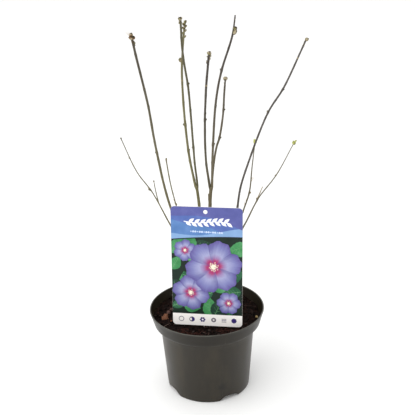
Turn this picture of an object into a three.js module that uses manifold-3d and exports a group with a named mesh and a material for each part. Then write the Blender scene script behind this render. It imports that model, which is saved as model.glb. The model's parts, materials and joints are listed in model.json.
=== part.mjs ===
// A leafless garden hibiscus in a round nursery pot, with a picture tag held up by a pin.
// Millimetres, +Z up. The origin is the middle of the pot's flat underside, and -Y faces the viewer.
import * as THREE from "three";
import { mergeVertices } from "three/addons/utils/BufferGeometryUtils.js";
import Module from "manifold-3d";

const wasm = await Module();
wasm.setup();

// Driving sizes
const CLEAR = 0.3;
const ROUND = 60;
const POT = { height: 128, rim: 85, lip: 22, lipFoot: 78.9, shoulder: 70.4, foot: 61.9, wall: 1.8, floor: 2 };
const NOTCH = { width: 36.4, slope: 14, height: 8, depth: 9, first: 29.5, count: 4, roof: 2, drain: 3.5 };
const SOIL = { level: 116, bump: 1.1, settle: 2, flat: 16, rings: 9 };
const TAG = { width: 101, height: 182.5, thick: 0.8, corner: 5.5, yaw: -8, lean: 3.2, roll: -0.5 };
const TAG_HOLE = { radius: 2.9, across: -1.5, down: 7.2 };
const TAG_FOOT = new THREE.Vector3(0.2, -41, 119);
const PIN = { width: 12, thick: 1.6, above: 62, below: 46, point: 14 };
const STOCK_FOOT = new THREE.Vector3(4, 8, SOIL.level + CLEAR);
const STOCK_TOP = new THREE.Vector3(4.8, 8.2, 151);
const STOCK = { waist: 6, knuckle: 8, dome: 0.7, sides: 20 };
const FLARE = { swell: 0.75, fade: 6, ribs: 5, rib: 0.16 };
const NODE = { spacing: 27, swell: 1.14, rings: 3 };
const SIDES = { bough: 8, twig: 7, shoot: 6 };

// Limbs: the knees they bend at, their thickness at foot, middle and tip, and the length of the twig
// that ends them. A point is a thinner last stretch of a twig.
const BOUGHS = {
  left: {
    knees: [
      [0.5, 6.5, 147], [-48, 6, 288], [-63.3, 1, 373],
      [-71.5, -10, 445], [-81, -28, 507], [-85.5, -41, 540.5],
    ],
    thick: [3.5, 2.9, 2.8],
    twig: 24,
  },
  mid_left: { knees: [[2.5, 10.5, 147], [-6.7, 12, 284], [-9.7, 13, 315]], thick: [4.5, 4, 3.6] },
  centre: { knees: [[6.5, 6.8, 147], [8.5, 9, 286], [10.5, 9, 314.5]], thick: [5, 4.7, 4.3] },
  right: {
    knees: [
      [9, 9, 147], [38, 8, 224], [47, 8, 278], [52, 9, 311],
      [61.6, 10, 343], [91.8, 16, 420], [113.5, 19, 454], [143, 26, 516],
    ],
    thick: [3.4, 2.5, 2.1],
    twig: 18,
  },
};
const ARMS = {
  mid_left_tall: {
    knees: [
      [-11.5, 13.2, 315.9], [-18.4, 18, 356], [-23, 26, 404],
      [-25.3, 38, 469], [-23, 43, 507], [-19, 48, 541],
    ],
    thick: [3.1, 2.8, 2.5],
    twig: 42,
  },
  mid_left_front: {
    knees: [
      [-8.3, 12.6, 315.9], [-11.5, 9, 356], [-13.7, 1, 408],
      [-16.5, -11, 465], [-22, -24, 515], [-23, -38, 562],
    ],
    thick: [2.5, 2.5, 2.4],
    twig: 22,
  },
  centre_front: {
    knees: [[8.9, 8.1, 315.3], [4.8, 4, 353], [4, -7, 402], [7, -21, 466], [12, -34, 516]],
    thick: [2.9, 2.6, 2.7],
    twig: 20,
  },
  centre_tall: {
    knees: [
      [12.1, 8.1, 315.3], [14.4, 9, 370], [20.8, 10, 444],
      [29, 10, 483], [44, 11, 529], [48, 12, 555],
    ],
    thick: [3, 2.7, 2.3],
    twig: 44,
    point: { long: 21, from: 1.9, to: 1.4 },
  },
  centre_back: {
    knees: [
      [11.5, 11.3, 315.3], [15.6, 18, 348], [20.2, 27, 369], [24.5, 31, 381],
      [30.8, 45, 413], [32.8, 54, 436], [35, 62, 456],
    ],
    thick: [2.8, 2.6, 2.4],
    twig: 24,
    point: { long: 11, from: 2.2, to: 2 },
  },
};
const SHOOTS = {
  outer_left: {
    from: "left",
    knees: [[-16.6, 5.8, 194], [-49, 3, 261], [-71, -12, 317], [-90, -28, 355], [-107, -46, 409]],
    thick: [2.6, 1.4, 0.7],
  },
  low_left: {
    from: "left",
    knees: [[-14.2, 8.2, 190], [-40, 30, 278], [-48, 50, 305], [-54, 70, 337]],
    thick: [2.2, 1.4, 1.5],
  },
  low_right: {
    from: "right",
    knees: [[33.6, 9.3, 211], [58, 34, 269], [67, 44, 292], [72, 55, 329], [77, 66, 361]],
    thick: [2.1, 1.9, 1],
    twig: 10,
  },
  outer_right: {
    from: "right",
    knees: [[36.6, 7.3, 217], [59, 3, 261], [76.8, -4, 301], [101.5, -12, 339], [124, -22, 388]],
    thick: [2.5, 1.4, 0.7],
    twig: 9,
  },
};
const SIDE_TWIG = { leaves: 0.48, tip: [-68, -20, 337], thick: [1.1, 1, 0.8] };
const CUT_STUB = { leaves: 0.7, tip: [7.2, 8.2, 305], thick: [2.4, 2.1, 1.9] };

// Buds: how far below the tip, the way round from +X towards +Y, width, and length over width
const BUDS = {
  left: [
    { down: 1, turn: 190, wide: 5.4, long: 1.35 },
    { down: 2, turn: 345, wide: 4.2, long: 1.3 },
    { down: -2.5, turn: 80, wide: 4, long: 1.4 },
    { down: 9, turn: 350, wide: 2.2, long: 1.6 },
  ],
  mid_left_tall: [
    { down: 0, turn: 0, wide: 3.6, long: 1.4 },
    { down: 4, turn: 190, wide: 2.8, long: 1.5 },
    { down: 6, turn: 350, wide: 2.6, long: 1.5 },
    { down: 9, turn: 185, wide: 2.4, long: 1.7 },
    { down: 12, turn: 0, wide: 2.4, long: 1.8 },
    { down: 16, turn: 190, wide: 2.2, long: 1.8 },
    { down: 20, turn: 0, wide: 2.4, long: 1.8 },
  ],
  mid_left_front: [
    { down: 1, turn: 180, wide: 4.7, long: 0.95 },
    { down: 7, turn: 190, wide: 2, long: 1.5 },
  ],
  centre_front: [
    { down: 1, turn: 90, wide: 5, long: 1.1 },
    { down: 5.5, turn: 10, wide: 2.2, long: 1.8 },
    { down: 13, turn: 180, wide: 1.4, long: 2.6 },
  ],
  centre_tall: [
    { down: 18.5, turn: 350, wide: 3.6, long: 1.1 },
    { down: 25, turn: 5, wide: 3.2, long: 2.1 },
  ],
  centre_back: [{ down: -1, turn: 90, wide: 5.6, long: 1.1 }],
  right: [{ down: 1, turn: 100, wide: 4, long: 1.6 }],
  low_right: [{ down: 1, turn: 180, wide: 3.4, long: 1.8 }],
  outer_right: [
    { down: 1, turn: 180, wide: 3.8, long: 1.3 },
    { down: -2, turn: 0, wide: 2.2, long: 2.2 },
  ],
};
const KNOBS = { mid_left_tall: [{ down: 53, turn: 180, wide: 4.6, long: 1.5 }] };
// How a bud leans out of its stem and how far it stands clear, in bud widths
const SEAT = { cap: { lean: 0.2, out: 0.08, rise: 0.15 }, side: { lean: 0.4, out: 0.02, rise: 0.3 } };
// Small bud scales below each tip, dealt out by a seeded rule
const SCALES = { seed: 41, count: 3, first: 2, within: 7, wide: 0.55, long: 1.6, golden: 137.5 };

// Colours
const LOOKS = {
  plastic: { color: 0x3c3a34, roughness: 0.5 },
  peat: { color: 0x1d130f, roughness: 1 },
  bark: { color: 0x776c58, roughness: 0.8 },
  bud: { color: 0x7a6f4c, roughness: 0.8 },
  leafbud: { color: 0x9aa650, roughness: 0.6 },
  card: { color: 0x7a80c0, roughness: 0.35 },
  pin: { color: 0xd9d7d0, roughness: 0.4 },
};
const look = {};
for (const [name, values] of Object.entries(LOOKS)) {
  look[name] = new THREE.MeshStandardMaterial({ metalness: 0, ...values });
}

// Solids
const { lerp, smoothstep, degToRad } = THREE.MathUtils;

function solidOf(geometry) {
  const plain = geometry.clone();
  plain.deleteAttribute("normal");
  plain.deleteAttribute("uv");
  const merged = mergeVertices(plain, 1e-4);
  const corners = merged.index.array;
  const kept = [];
  for (let i = 0; i < corners.length; i += 3) {
    const [a, b, c] = corners.slice(i, i + 3);
    if (a !== b && b !== c && c !== a) kept.push(a, b, c);
  }
  const vertProperties = new Float32Array(merged.attributes.position.array);
  return new wasm.Manifold(new wasm.Mesh({ numProp: 3, vertProperties, triVerts: new Uint32Array(kept) }));
}

function meshOf(name, solid, material) {
  const { vertProperties, triVerts } = solid.getMesh();
  const geometry = new THREE.BufferGeometry();
  geometry.setAttribute("position", new THREE.BufferAttribute(vertProperties, 3));
  geometry.setIndex(new THREE.BufferAttribute(triVerts, 1));
  geometry.computeVertexNormals();
  const mesh = new THREE.Mesh(geometry, material);
  mesh.name = name;
  return mesh;
}

function cut(solid, cutters) {
  return cutters.reduce((left, cutter) => left.subtract(cutter), solid);
}

function turned(profile) {
  const points = profile.map(([r, z]) => new THREE.Vector2(r, z));
  return new THREE.LatheGeometry(points, ROUND).rotateX(Math.PI / 2);
}

// Rings of points joined into a closed skin with a flat face at each end
function skinOf(rings) {
  const sides = rings[0].length;
  const last = (rings.length - 1) * sides;
  const index = [];
  for (let start = 0; start < last; start += sides) {
    for (let i = 0; i < sides; i++) {
      const a = start + i;
      const b = start + ((i + 1) % sides);
      index.push(a, b, b + sides, a, b + sides, a + sides);
    }
  }
  for (let i = 1; i + 1 < sides; i++) {
    index.push(0, i + 1, i, last, last + i, last + i + 1);
  }
  const geometry = new THREE.BufferGeometry().setFromPoints(rings.flat());
  return geometry.setIndex(index);
}

function ringOf(centre, right, back, radiusOf, sides) {
  return Array.from({ length: sides }, (_, i) => {
    const turn = (2 * Math.PI * i) / sides;
    const across = radiusOf(turn) * Math.cos(turn);
    const deep = radiusOf(turn) * Math.sin(turn);
    return centre.clone().addScaledVector(right, across).addScaledVector(back, deep);
  });
}

// Limbs
const ACROSS = new THREE.Vector3(1, 0, 0);
const DEPTH = new THREE.Vector3(0, 1, 0);
const UP = new THREE.Vector3(0, 0, 1);

function courseOf(knees) {
  return new THREE.CatmullRomCurve3(knees.map((knee) => new THREE.Vector3(...knee)));
}

function crossFrame(course, u) {
  const along = course.getTangentAt(u);
  const right = new THREE.Vector3().crossVectors(DEPTH, along).normalize();
  const back = new THREE.Vector3().crossVectors(along, right);
  return { centre: course.getPointAt(u), along, right, back };
}

function radiusAt(limb, reach, length) {
  const [foot, middle, tip] = limb.thick;
  const share = (2 * reach) / length;
  const body = share < 1 ? lerp(foot, middle, share) : lerp(middle, tip, share - 1);
  const { long, from, to } = limb.point ?? { long: 0 };
  const left = length - reach;
  return (left < long ? lerp(to, from, left / long) : body) / 2;
}

// A tapering stretch of a limb between two distances from its foot, with a swelling at each node
function stretch(limb, course, from, to, sides, grow = 0) {
  const length = course.getLength();
  const steps = Math.max(2, Math.round(((to - from) * NODE.rings) / NODE.spacing));
  const rings = Array.from({ length: steps + 1 }, (_, k) => {
    const reach = lerp(from, to, k / steps);
    const { centre, right, back } = crossFrame(course, reach / length);
    const swell = k % NODE.rings === 1 && k < steps ? NODE.swell : 1;
    return ringOf(centre, right, back, () => radiusAt(limb, reach, length) * swell + grow, sides);
  });
  return solidOf(skinOf(rings));
}

// A bud caps a tip, or sits half sunk in its stem's side, and points up and outwards
function budSolid(limb, course, { down, turn, wide, long }) {
  const length = course.getLength();
  const reach = Math.min(length, length - down);
  const { centre, along, right, back } = crossFrame(course, reach / length);
  const side = right.multiplyScalar(Math.cos(degToRad(turn))).addScaledVector(back, Math.sin(degToRad(turn)));
  const caps = down <= 1;
  const seat = caps ? SEAT.cap : SEAT.side;
  const axis = along.addScaledVector(side, seat.lean).normalize();
  const out = seat.out * wide + (caps ? 0 : radiusAt(limb, reach, length));
  const rise = seat.rise * wide * long + Math.max(0, -down);
  const place = centre.addScaledVector(side, out).addScaledVector(axis, rise);
  const ball = new THREE.SphereGeometry(0.5, 7, 5).rotateX(Math.PI / 2).scale(wide, wide, wide * long);
  ball.applyQuaternion(new THREE.Quaternion().setFromUnitVectors(UP, axis));
  return solidOf(ball.translate(place.x, place.y, place.z));
}

function withBuds(solid, limb, course, buds) {
  return buds.reduce((sum, bud) => sum.add(budSolid(limb, course, bud)), solid);
}

function seeded(seed) {
  let state = seed;
  return () => {
    state = (state * 1664525 + 1013904223) % 4294967296;
    return state / 4294967296;
  };
}

function scaleBuds(limb, random) {
  const tip = limb.point?.to ?? limb.thick[2];
  return Array.from({ length: SCALES.count }, (_, k) => ({
    down: SCALES.first + SCALES.within * ((k + random()) / SCALES.count),
    turn: SCALES.golden * (k + random()),
    wide: SCALES.wide * tip * (0.8 + 0.4 * random()),
    long: SCALES.long,
  }));
}

// A thin twig that leaves a limb part way up its course and is fused to it
function sideTwig(course, twig) {
  const start = course.getPointAt(twig.leaves);
  const tip = new THREE.Vector3(...twig.tip);
  const middle = start.clone().lerp(tip, 0.5).addScaledVector(course.getTangentAt(twig.leaves), 2);
  const path = new THREE.CatmullRomCurve3([start, middle, tip]);
  return stretch(twig, path, 0, path.getLength(), SIDES.shoot);
}

// A limb from its foot to where its twig starts, and the twig from there to the tip
function limbSolid(limb, course, sides) {
  const end = course.getLength() - (limb.twig ? limb.twig + CLEAR / 2 : 0);
  return stretch(limb, course, 0, end, sides);
}

function twigSolid(name, limb, course, random) {
  const length = course.getLength();
  const twig = stretch(limb, course, length - limb.twig + CLEAR / 2, length, SIDES.twig);
  return withBuds(twig, limb, course, [...BUDS[name], ...scaleBuds(limb, random)]);
}

// Trunk: a short stock with a ribbed flare at the soil and a knuckle that the limbs grow from
function stockSolid(grow) {
  const shares = [0, 0.07, 0.17, 0.32, 0.52, 0.72, 0.86, 0.95, 1];
  const rings = shares.map((share) => {
    const centre = STOCK_FOOT.clone().lerp(STOCK_TOP, share);
    const overDome = Math.max(0, (share - STOCK.dome) / (1 - STOCK.dome));
    const rounding = Math.sqrt(1 - 0.88 * overDome ** 2);
    const girth = lerp(STOCK.waist, STOCK.knuckle, smoothstep(share, 0.35, 0.8)) * rounding;
    const fade = Math.exp((STOCK_FOOT.z - centre.z) / FLARE.fade);
    const flared = girth * (1 + FLARE.swell * fade);
    const ribbed = (turn) => flared * (1 + FLARE.rib * fade * Math.cos(FLARE.ribs * turn + 0.7)) + grow;
    centre.z += share === 1 ? grow : 0;
    return ringOf(centre, ACROSS, DEPTH, ribbed, STOCK.sides);
  });
  return solidOf(skinOf(rings));
}

// Pot
const lipFootZ = POT.height - POT.lip;
const ledgeZ = lipFootZ + POT.wall;
const benchZ = NOTCH.height + NOTCH.roof;
const benchRadius = POT.foot - NOTCH.depth - POT.wall;

function lipRadius(z) {
  return lerp(POT.lipFoot, POT.rim, (z - lipFootZ) / POT.lip);
}

function bodyRadius(z) {
  return lerp(POT.foot, POT.shoulder, z / lipFootZ);
}

function potInside(gap) {
  return [
    [benchRadius - gap, POT.floor + gap],
    [benchRadius - gap, benchZ + gap],
    [bodyRadius(benchZ) - POT.wall - gap, benchZ + gap],
    [bodyRadius(lipFootZ) - POT.wall - gap, ledgeZ + gap],
    [lipRadius(ledgeZ) - POT.wall - gap, ledgeZ + gap],
  ];
}

function potSolid() {
  const edge = POT.wall / 2;
  const rim = [0, 30, 60, 90, 120, 150, 180].map((turn) => [
    POT.rim - edge + edge * Math.cos(degToRad(turn)),
    POT.height - edge + edge * Math.sin(degToRad(turn)),
  ]);
  const chamfer = 1.2;
  const profile = [
    [0, 0],
    [POT.foot - chamfer, 0],
    [bodyRadius(chamfer), chamfer],
    [bodyRadius(lipFootZ - chamfer), lipFootZ - chamfer],
    [POT.shoulder + chamfer, lipFootZ],
    [POT.lipFoot - chamfer, lipFootZ],
    [lipRadius(lipFootZ + chamfer), lipFootZ + chamfer],
    ...rim,
    ...potInside(0).reverse(),
    [0, POT.floor],
  ];
  const cutters = Array.from({ length: NOTCH.count }, (_, k) => {
    const turn = degToRad(NOTCH.first - 90 + (360 * k) / NOTCH.count);
    return [notchCutter(turn), drainCutter(turn)];
  });
  return cut(solidOf(turned(profile)), cutters.flat());
}

// The arch cut into the foot, carried on past the wall, and the drain hole in its roof
function notchCutter(turn) {
  const half = NOTCH.width / 2;
  const crown = half - NOTCH.slope;
  const low = { x: lerp(half, crown, 0.35), y: NOTCH.height * 0.3 };
  const high = lerp(half, crown, 0.55);
  const beyond = 8;
  const arch = new THREE.Shape();
  arch.moveTo(-half, -beyond);
  arch.lineTo(half, -beyond);
  arch.lineTo(half, 0);
  arch.bezierCurveTo(low.x, low.y, high, NOTCH.height, crown, NOTCH.height);
  arch.lineTo(-crown, NOTCH.height);
  arch.bezierCurveTo(-high, NOTCH.height, -low.x, low.y, -half, 0);
  const depth = NOTCH.depth + beyond;
  const cutter = new THREE.ExtrudeGeometry(arch, { depth, bevelEnabled: false, curveSegments: 6 });
  cutter.translate(0, 0, POT.foot - NOTCH.depth);
  return solidOf(cutter.rotateX(Math.PI / 2).rotateZ(Math.PI / 2 + turn));
}

function drainCutter(turn) {
  const at = POT.foot - NOTCH.depth / 2 - 1;
  const bore = new THREE.CylinderGeometry(NOTCH.drain, NOTCH.drain, 3 * NOTCH.roof, 16).rotateX(Math.PI / 2);
  return solidOf(bore.translate(at * Math.cos(turn), at * Math.sin(turn), benchZ));
}

// Soil
function soilBump(x, y) {
  const fromStock = Math.hypot(x - STOCK_FOOT.x, y - STOCK_FOOT.y);
  const waves = Math.sin(x * 0.13 + 1) * Math.cos(y * 0.11) + 0.6 * Math.sin(x * 0.07 - y * 0.19 + 2);
  const sunk = SOIL.settle * smoothstep(Math.hypot(x, y), 58, 79);
  return smoothstep(fromStock, SOIL.flat, 2 * SOIL.flat) * SOIL.bump * waves - sunk;
}

function soilSolid(cutters) {
  const outer = lipRadius(SOIL.level - SOIL.settle - SOIL.bump) - POT.wall - CLEAR;
  const [floor, ...under] = potInside(CLEAR);
  const surface = Array.from({ length: SOIL.rings }, (_, k) => [outer * (1 - k / SOIL.rings), SOIL.level]);
  const soil = turned([[0, floor[1]], floor, ...under, ...surface, [0, SOIL.level]]);
  const place = soil.attributes.position;
  for (let i = 0; i < place.count; i++) {
    if (place.getZ(i) > SOIL.level - CLEAR) {
      place.setZ(i, SOIL.level + soilBump(place.getX(i), place.getY(i)));
    }
  }
  return cut(solidOf(soil), cutters);
}

// Tag and pin, drawn flat and stood up by the groups that hold them
const pinBack = -TAG.thick - CLEAR - PIN.thick;
const stand = new THREE.Group();
stand.position.copy(TAG_FOOT);
stand.rotation.z = degToRad(TAG.yaw);
const leaning = new THREE.Group();
leaning.rotation.x = degToRad(90 - TAG.lean);
const rolled = new THREE.Group();
rolled.rotation.z = degToRad(TAG.roll);
stand.add(leaning);
leaning.add(rolled);
stand.updateMatrixWorld(true);

function cardShape() {
  const side = TAG.width / 2;
  const across = side - TAG.corner;
  const up = TAG.height - TAG.corner;
  const card = new THREE.Shape();
  card.moveTo(-across, 0);
  card.lineTo(across, 0).absarc(across, TAG.corner, TAG.corner, -Math.PI / 2, 0);
  card.lineTo(side, up).absarc(across, up, TAG.corner, 0, Math.PI / 2);
  card.lineTo(-across, TAG.height).absarc(-across, up, TAG.corner, Math.PI / 2, Math.PI);
  card.lineTo(-side, TAG.corner).absarc(-across, TAG.corner, TAG.corner, Math.PI, 1.5 * Math.PI);
  const hole = new THREE.Path();
  hole.absarc(TAG_HOLE.across, TAG.height - TAG_HOLE.down, TAG_HOLE.radius, 0, 2 * Math.PI, true);
  card.holes.push(hole);
  return card;
}

function pinShape(gap) {
  const half = PIN.width / 2 + gap;
  const shoulder = PIN.point - PIN.below;
  const outline = [
    [0, -PIN.below - gap], [half, shoulder], [half, PIN.above], [-half, PIN.above], [-half, shoulder],
  ];
  return new THREE.Shape(outline.map(([across, up]) => new THREE.Vector2(across, up)));
}

function slab(shape, thick, back) {
  const options = { depth: thick, bevelEnabled: false, curveSegments: 8 };
  return new THREE.ExtrudeGeometry(shape, options).translate(0, 0, back);
}

// What the soil leaves free round the pin and under the card
function tagCutters() {
  const slot = slab(pinShape(CLEAR), PIN.thick + 2 * CLEAR, pinBack - CLEAR);
  const headroom = 12;
  const under = new THREE.BoxGeometry(TAG.width + 2, headroom, TAG.thick + 2 * CLEAR);
  under.translate(0, headroom / 2 - CLEAR, -TAG.thick / 2);
  return [slot, under].map((geometry) => solidOf(geometry.applyMatrix4(rolled.matrixWorld)));
}

const plant = new THREE.Group();
plant.add(meshOf("pot", potSolid(), look.plastic));
plant.add(meshOf("soil", soilSolid(tagCutters()), look.peat));
plant.add(meshOf("trunk", stockSolid(0), look.bark));
plant.add(stand);
rolled.add(meshOf("tag", solidOf(slab(cardShape(), TAG.thick, -TAG.thick)), look.card));
rolled.add(meshOf("tag_pin", solidOf(slab(pinShape(0), PIN.thick, pinBack)), look.pin));

const random = seeded(SCALES.seed);
const stockCutter = stockSolid(CLEAR);
const courses = {};
for (const [name, bough] of Object.entries(BOUGHS)) {
  const course = courseOf(bough.knees);
  courses[name] = course;
  let solid = cut(limbSolid(bough, course, SIDES.bough), [stockCutter]);
  if (name === "centre") solid = solid.add(sideTwig(course, CUT_STUB));
  plant.add(meshOf(`bough_${name}`, solid, look.bark));
  if (bough.twig) plant.add(meshOf(`twig_${name}`, twigSolid(name, bough, course, random), look.bud));
}
for (const [name, arm] of Object.entries(ARMS)) {
  const course = courseOf(arm.knees);
  const solid = withBuds(limbSolid(arm, course, SIDES.bough), arm, course, KNOBS[name] ?? []);
  plant.add(meshOf(`arm_${name}`, solid, look.bark));
  plant.add(meshOf(`twig_${name}`, twigSolid(name, arm, course, random), look.bud));
}
for (const [name, shoot] of Object.entries(SHOOTS)) {
  const course = courseOf(shoot.knees);
  const [parent, parentCourse] = [BOUGHS[shoot.from], courses[shoot.from]];
  const cutter = stretch(parent, parentCourse, 0, 0.5 * parentCourse.getLength(), SIDES.bough, CLEAR);
  let solid = cut(limbSolid(shoot, course, SIDES.shoot), [cutter]);
  if (name === "outer_left") solid = solid.add(sideTwig(course, SIDE_TWIG));
  plant.add(meshOf(`shoot_${name}`, solid, look.bark));
  if (shoot.twig) plant.add(meshOf(`leafbud_${name}`, twigSolid(name, shoot, course, random), look.leafbud));
}

export default plant;
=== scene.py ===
"""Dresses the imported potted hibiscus: bark, buds, peat, pot finish, the tag's print and a studio stage."""

import json
import math
import random

import bmesh
import bpy
import numpy as np
from bpy.props import FloatProperty, FloatVectorProperty, IntProperty, PointerProperty
from mathutils import Euler, Matrix, Vector, noise
from mathutils.geometry import tessellate_polygon

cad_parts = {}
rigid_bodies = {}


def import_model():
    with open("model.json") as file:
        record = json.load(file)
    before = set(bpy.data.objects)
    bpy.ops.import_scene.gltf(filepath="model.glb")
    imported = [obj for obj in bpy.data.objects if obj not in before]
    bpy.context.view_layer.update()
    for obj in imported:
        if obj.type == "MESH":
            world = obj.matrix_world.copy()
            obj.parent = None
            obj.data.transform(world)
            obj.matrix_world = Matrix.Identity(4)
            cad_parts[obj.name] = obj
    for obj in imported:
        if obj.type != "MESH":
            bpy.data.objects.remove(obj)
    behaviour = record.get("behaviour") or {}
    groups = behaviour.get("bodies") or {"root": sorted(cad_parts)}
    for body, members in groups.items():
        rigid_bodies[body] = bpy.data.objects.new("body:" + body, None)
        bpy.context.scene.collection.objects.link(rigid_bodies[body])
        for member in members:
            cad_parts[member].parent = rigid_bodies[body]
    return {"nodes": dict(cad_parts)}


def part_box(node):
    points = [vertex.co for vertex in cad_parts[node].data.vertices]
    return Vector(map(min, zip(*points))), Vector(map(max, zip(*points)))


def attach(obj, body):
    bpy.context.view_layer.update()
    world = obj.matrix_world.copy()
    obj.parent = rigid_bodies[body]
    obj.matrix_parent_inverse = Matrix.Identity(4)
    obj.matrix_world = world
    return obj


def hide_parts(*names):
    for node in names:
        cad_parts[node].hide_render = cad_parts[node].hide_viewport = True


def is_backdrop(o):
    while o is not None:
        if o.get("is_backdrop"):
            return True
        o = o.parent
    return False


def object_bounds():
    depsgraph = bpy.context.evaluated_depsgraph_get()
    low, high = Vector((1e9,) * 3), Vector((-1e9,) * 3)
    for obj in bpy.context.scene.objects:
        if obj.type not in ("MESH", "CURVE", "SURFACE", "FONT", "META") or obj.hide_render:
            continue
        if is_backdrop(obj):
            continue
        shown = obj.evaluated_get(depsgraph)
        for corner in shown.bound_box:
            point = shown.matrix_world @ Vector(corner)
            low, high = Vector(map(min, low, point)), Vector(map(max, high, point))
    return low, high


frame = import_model()
CAD_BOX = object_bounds()

bl_info = {
    "name": "Potted hibiscus",
    "version": (1, 0, 0),
    "blender": (4, 5, 0),
    "location": "View3D > Sidebar > Hibiscus",
    "description": "Builds the looks of a leafless potted hibiscus round its packed frame",
    "category": "Object",
}

BODY = "root"
MM = 0.001
# The turn from one bud or scale to the next
GOLDEN = math.radians(137.5)
# Away from the viewer
DEPTH = np.array([0.0, 1.0, 0.0])

# Sizes below are millimetres in the frame: +Z up, -Y towards the viewer, origin under the pot's middle
POT_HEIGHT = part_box("pot")[1].z / MM
POT_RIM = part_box("pot")[1].x / MM
# The height of the lip, the radii at its foot, at the shoulder and at the pot's foot, and the thicknesses
POT = {"lip": 22, "lip_foot": 78.9, "shoulder": 70.4, "foot": 61.9, "wall": 1.8, "floor": 2}
LIP_FOOT = POT_HEIGHT - POT["lip"]
# Where the mould's seam is, in degrees from +X
POT_SEAM = -72
# The dark patch low on the front: its middle, how far it reaches and how dark it is
DARK_PATCH = {"place": (18.5, -61.5, 26), "reach": 10, "strength": 0.6}
# The arched notches in the foot, the angle of the first one, and the drain hole through the roof of each
NOTCH = {
    "width": 36.4, "slope": 14, "height": 8, "depth": 9, "first": 29.5, "count": 4, "roof": 2, "drain": 3.5,
}
# The peat: its level, its bumps, how it sinks at the wall, the flat round the stock, the plug under it, the
# gap at the wall, the pitch of its grid, and how far crumbs stay off the stock
SOIL = {
    "level": 116, "bump": 1.1, "settle": 2, "sinks": (58, 79), "flat": 16,
    "plug": 111, "gap": 0.3, "pitch": 1, "off_stock": 11,
}
# Crumbs heaped at the foot of the card: pairs along it, and more round its pin
HEAP = {"pairs": 54, "middle": 46}
# Reddish threads in front of the card: the middles of two drifts, how far these spread, and front and back
DRIFTS = {"middles": (-30, 27), "spread": 11, "depth": (-70, -44)}
# The threads that stand out on the soil: place, heading in degrees, length, thickness and paint
STRAWS = [(-63.5, -33.5, 52, 12.5, 0.9, 2), (32.3, -58.2, 80, 10, 0.7, 2)]
# The bark chip that stands out at the right edge: place, length, width and lift
CHIP = {"place": (73.5, -14), "long": 6.5, "wide": 4.6, "lift": 2}
# The lumps that stand out on the soil: place, height above it, sizes, and paint
LUMPS = [
    (-63, -12.5, 1.5, (10.5, 8.5, 6), 3), (-61.5, -6, 2.6, (7, 7.5, 7), 3), (-57.5, 3, 1.8, (6, 7.5, 6), 4),
    (-54, 13, 1, (3.6, 5.5, 4), 4), (-53, -21, 0.8, (3, 2.4, 2), 3),
]
# How many shapes the lumps and crumbs are dealt from
LUMP_SHAPES = 8
# The short trunk from the peat to the knuckle, with the flare of its roots
STOCK_FOOT = np.array([4.0, 8.0, 116.0])
STOCK_TOP = np.array([4.8, 8.2, 151.0])
STOCK = {"waist": 6, "knuckle": 8, "dome": 0.7, "rows": 58, "sides": 64}
FLARE = {"swell": 0.75, "fade": 6, "ribs": 5, "rib": 0.16}
# From one leaf joint to the next
NODE_SPACING = 27
# How far a joint's swelling fades out along the limb
JOINT_FADE = 2.6
# What the bark adds to a limb's radius
BARK_DEPTH = 0.17

# The card, the room that its pin takes behind it, and the hang hole measured from its top and middle
CARD = {"width": 101, "height": 182.5, "corner": 5.5, "pin": 3.5}
CARD_HOLE = {"radius": 2.9, "across": -1.5, "down": 7.2}
# Places the card's own plane, which goes across, up and out of its face: its foot, yaw, lean and roll
CARD_PLACE = (
    Matrix.Translation(Vector((0.2, -41, 119)) * MM)
    @ Matrix.Rotation(math.radians(-8), 4, "Z")
    @ Matrix.Rotation(math.radians(90 - 3.2), 4, "X")
    @ Matrix.Rotation(math.radians(-0.5), 4, "Z")
)
# The picture on the card: where its foot is, and half its width
PANEL = {"low": 18.3, "half": 50.4}
# The printed blossoms: across, up, radius, turn and the layer each starts from
BLOSSOMS = [
    (-31, 117, 16.5, 0.4, 0.2), (-23.5, 52, 27, 0.75, 0.3),
    (31, 37.5, 17.5, 1, 0.4), (9.5, 93, 40.5, 0.2, 0.5),
]
# Where the printed leaves are strewn from: across and up
LEAF_SPOTS = [(x, y) for y in (120, 98, 76, 54, 32) for x in (-38, -19, 0, 19, 38)]
# The white sprig: half its length and its stem's thickness, its height on the card, and its leaves: their
# number, how far out they go, and their size
SPRAY = {"half": 32, "stem": 0.6, "up": 160, "leaves": 15, "reach": 29, "long": 9.5, "wide": 4.6}
# The row of beads: the first one, the step to the next, their number and their big and small radius
BEADS = {"first": (-22, 146), "step": (3.1, -0.07), "count": 15, "big": 1.5, "small": 0.9}
# How far each part of the print stands off the card
LAYERS = {
    "ground": 0.05, "dusk": 0.07, "pale": 0.08, "violet": 0.09, "line": 0.11, "leaves": 0.07, "signs": 0.09,
    "stem": 0.13, "sprig": 0.135,
}
# How far a printed part stands off the one under it
OVER = {"leaf": 0.004, "vein": 0.002, "petal": 0.012, "middle": 0.09, "dots": 0.092}
# The signs on the strip, by their place across it, with their height on the card and their size
SIGNS = {-38: "ring", -22.5: "half", -7: "dots", 9: "disc", 24: "bars", 38.5: "star"}
SIGN = {"up": 9.6, "size": 4}

# The lights in metres: where each stands, and the place it shines at
KEY = {"place": (-0.8, -1.15, 1.1), "at": (0, 0, 0.2)}
FILL = {"place": (-1.0, -0.1, 0.7), "at": (-0.35, -0.05, 0)}
# Half the side of the floor
FLOOR_HALF = 15000

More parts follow.
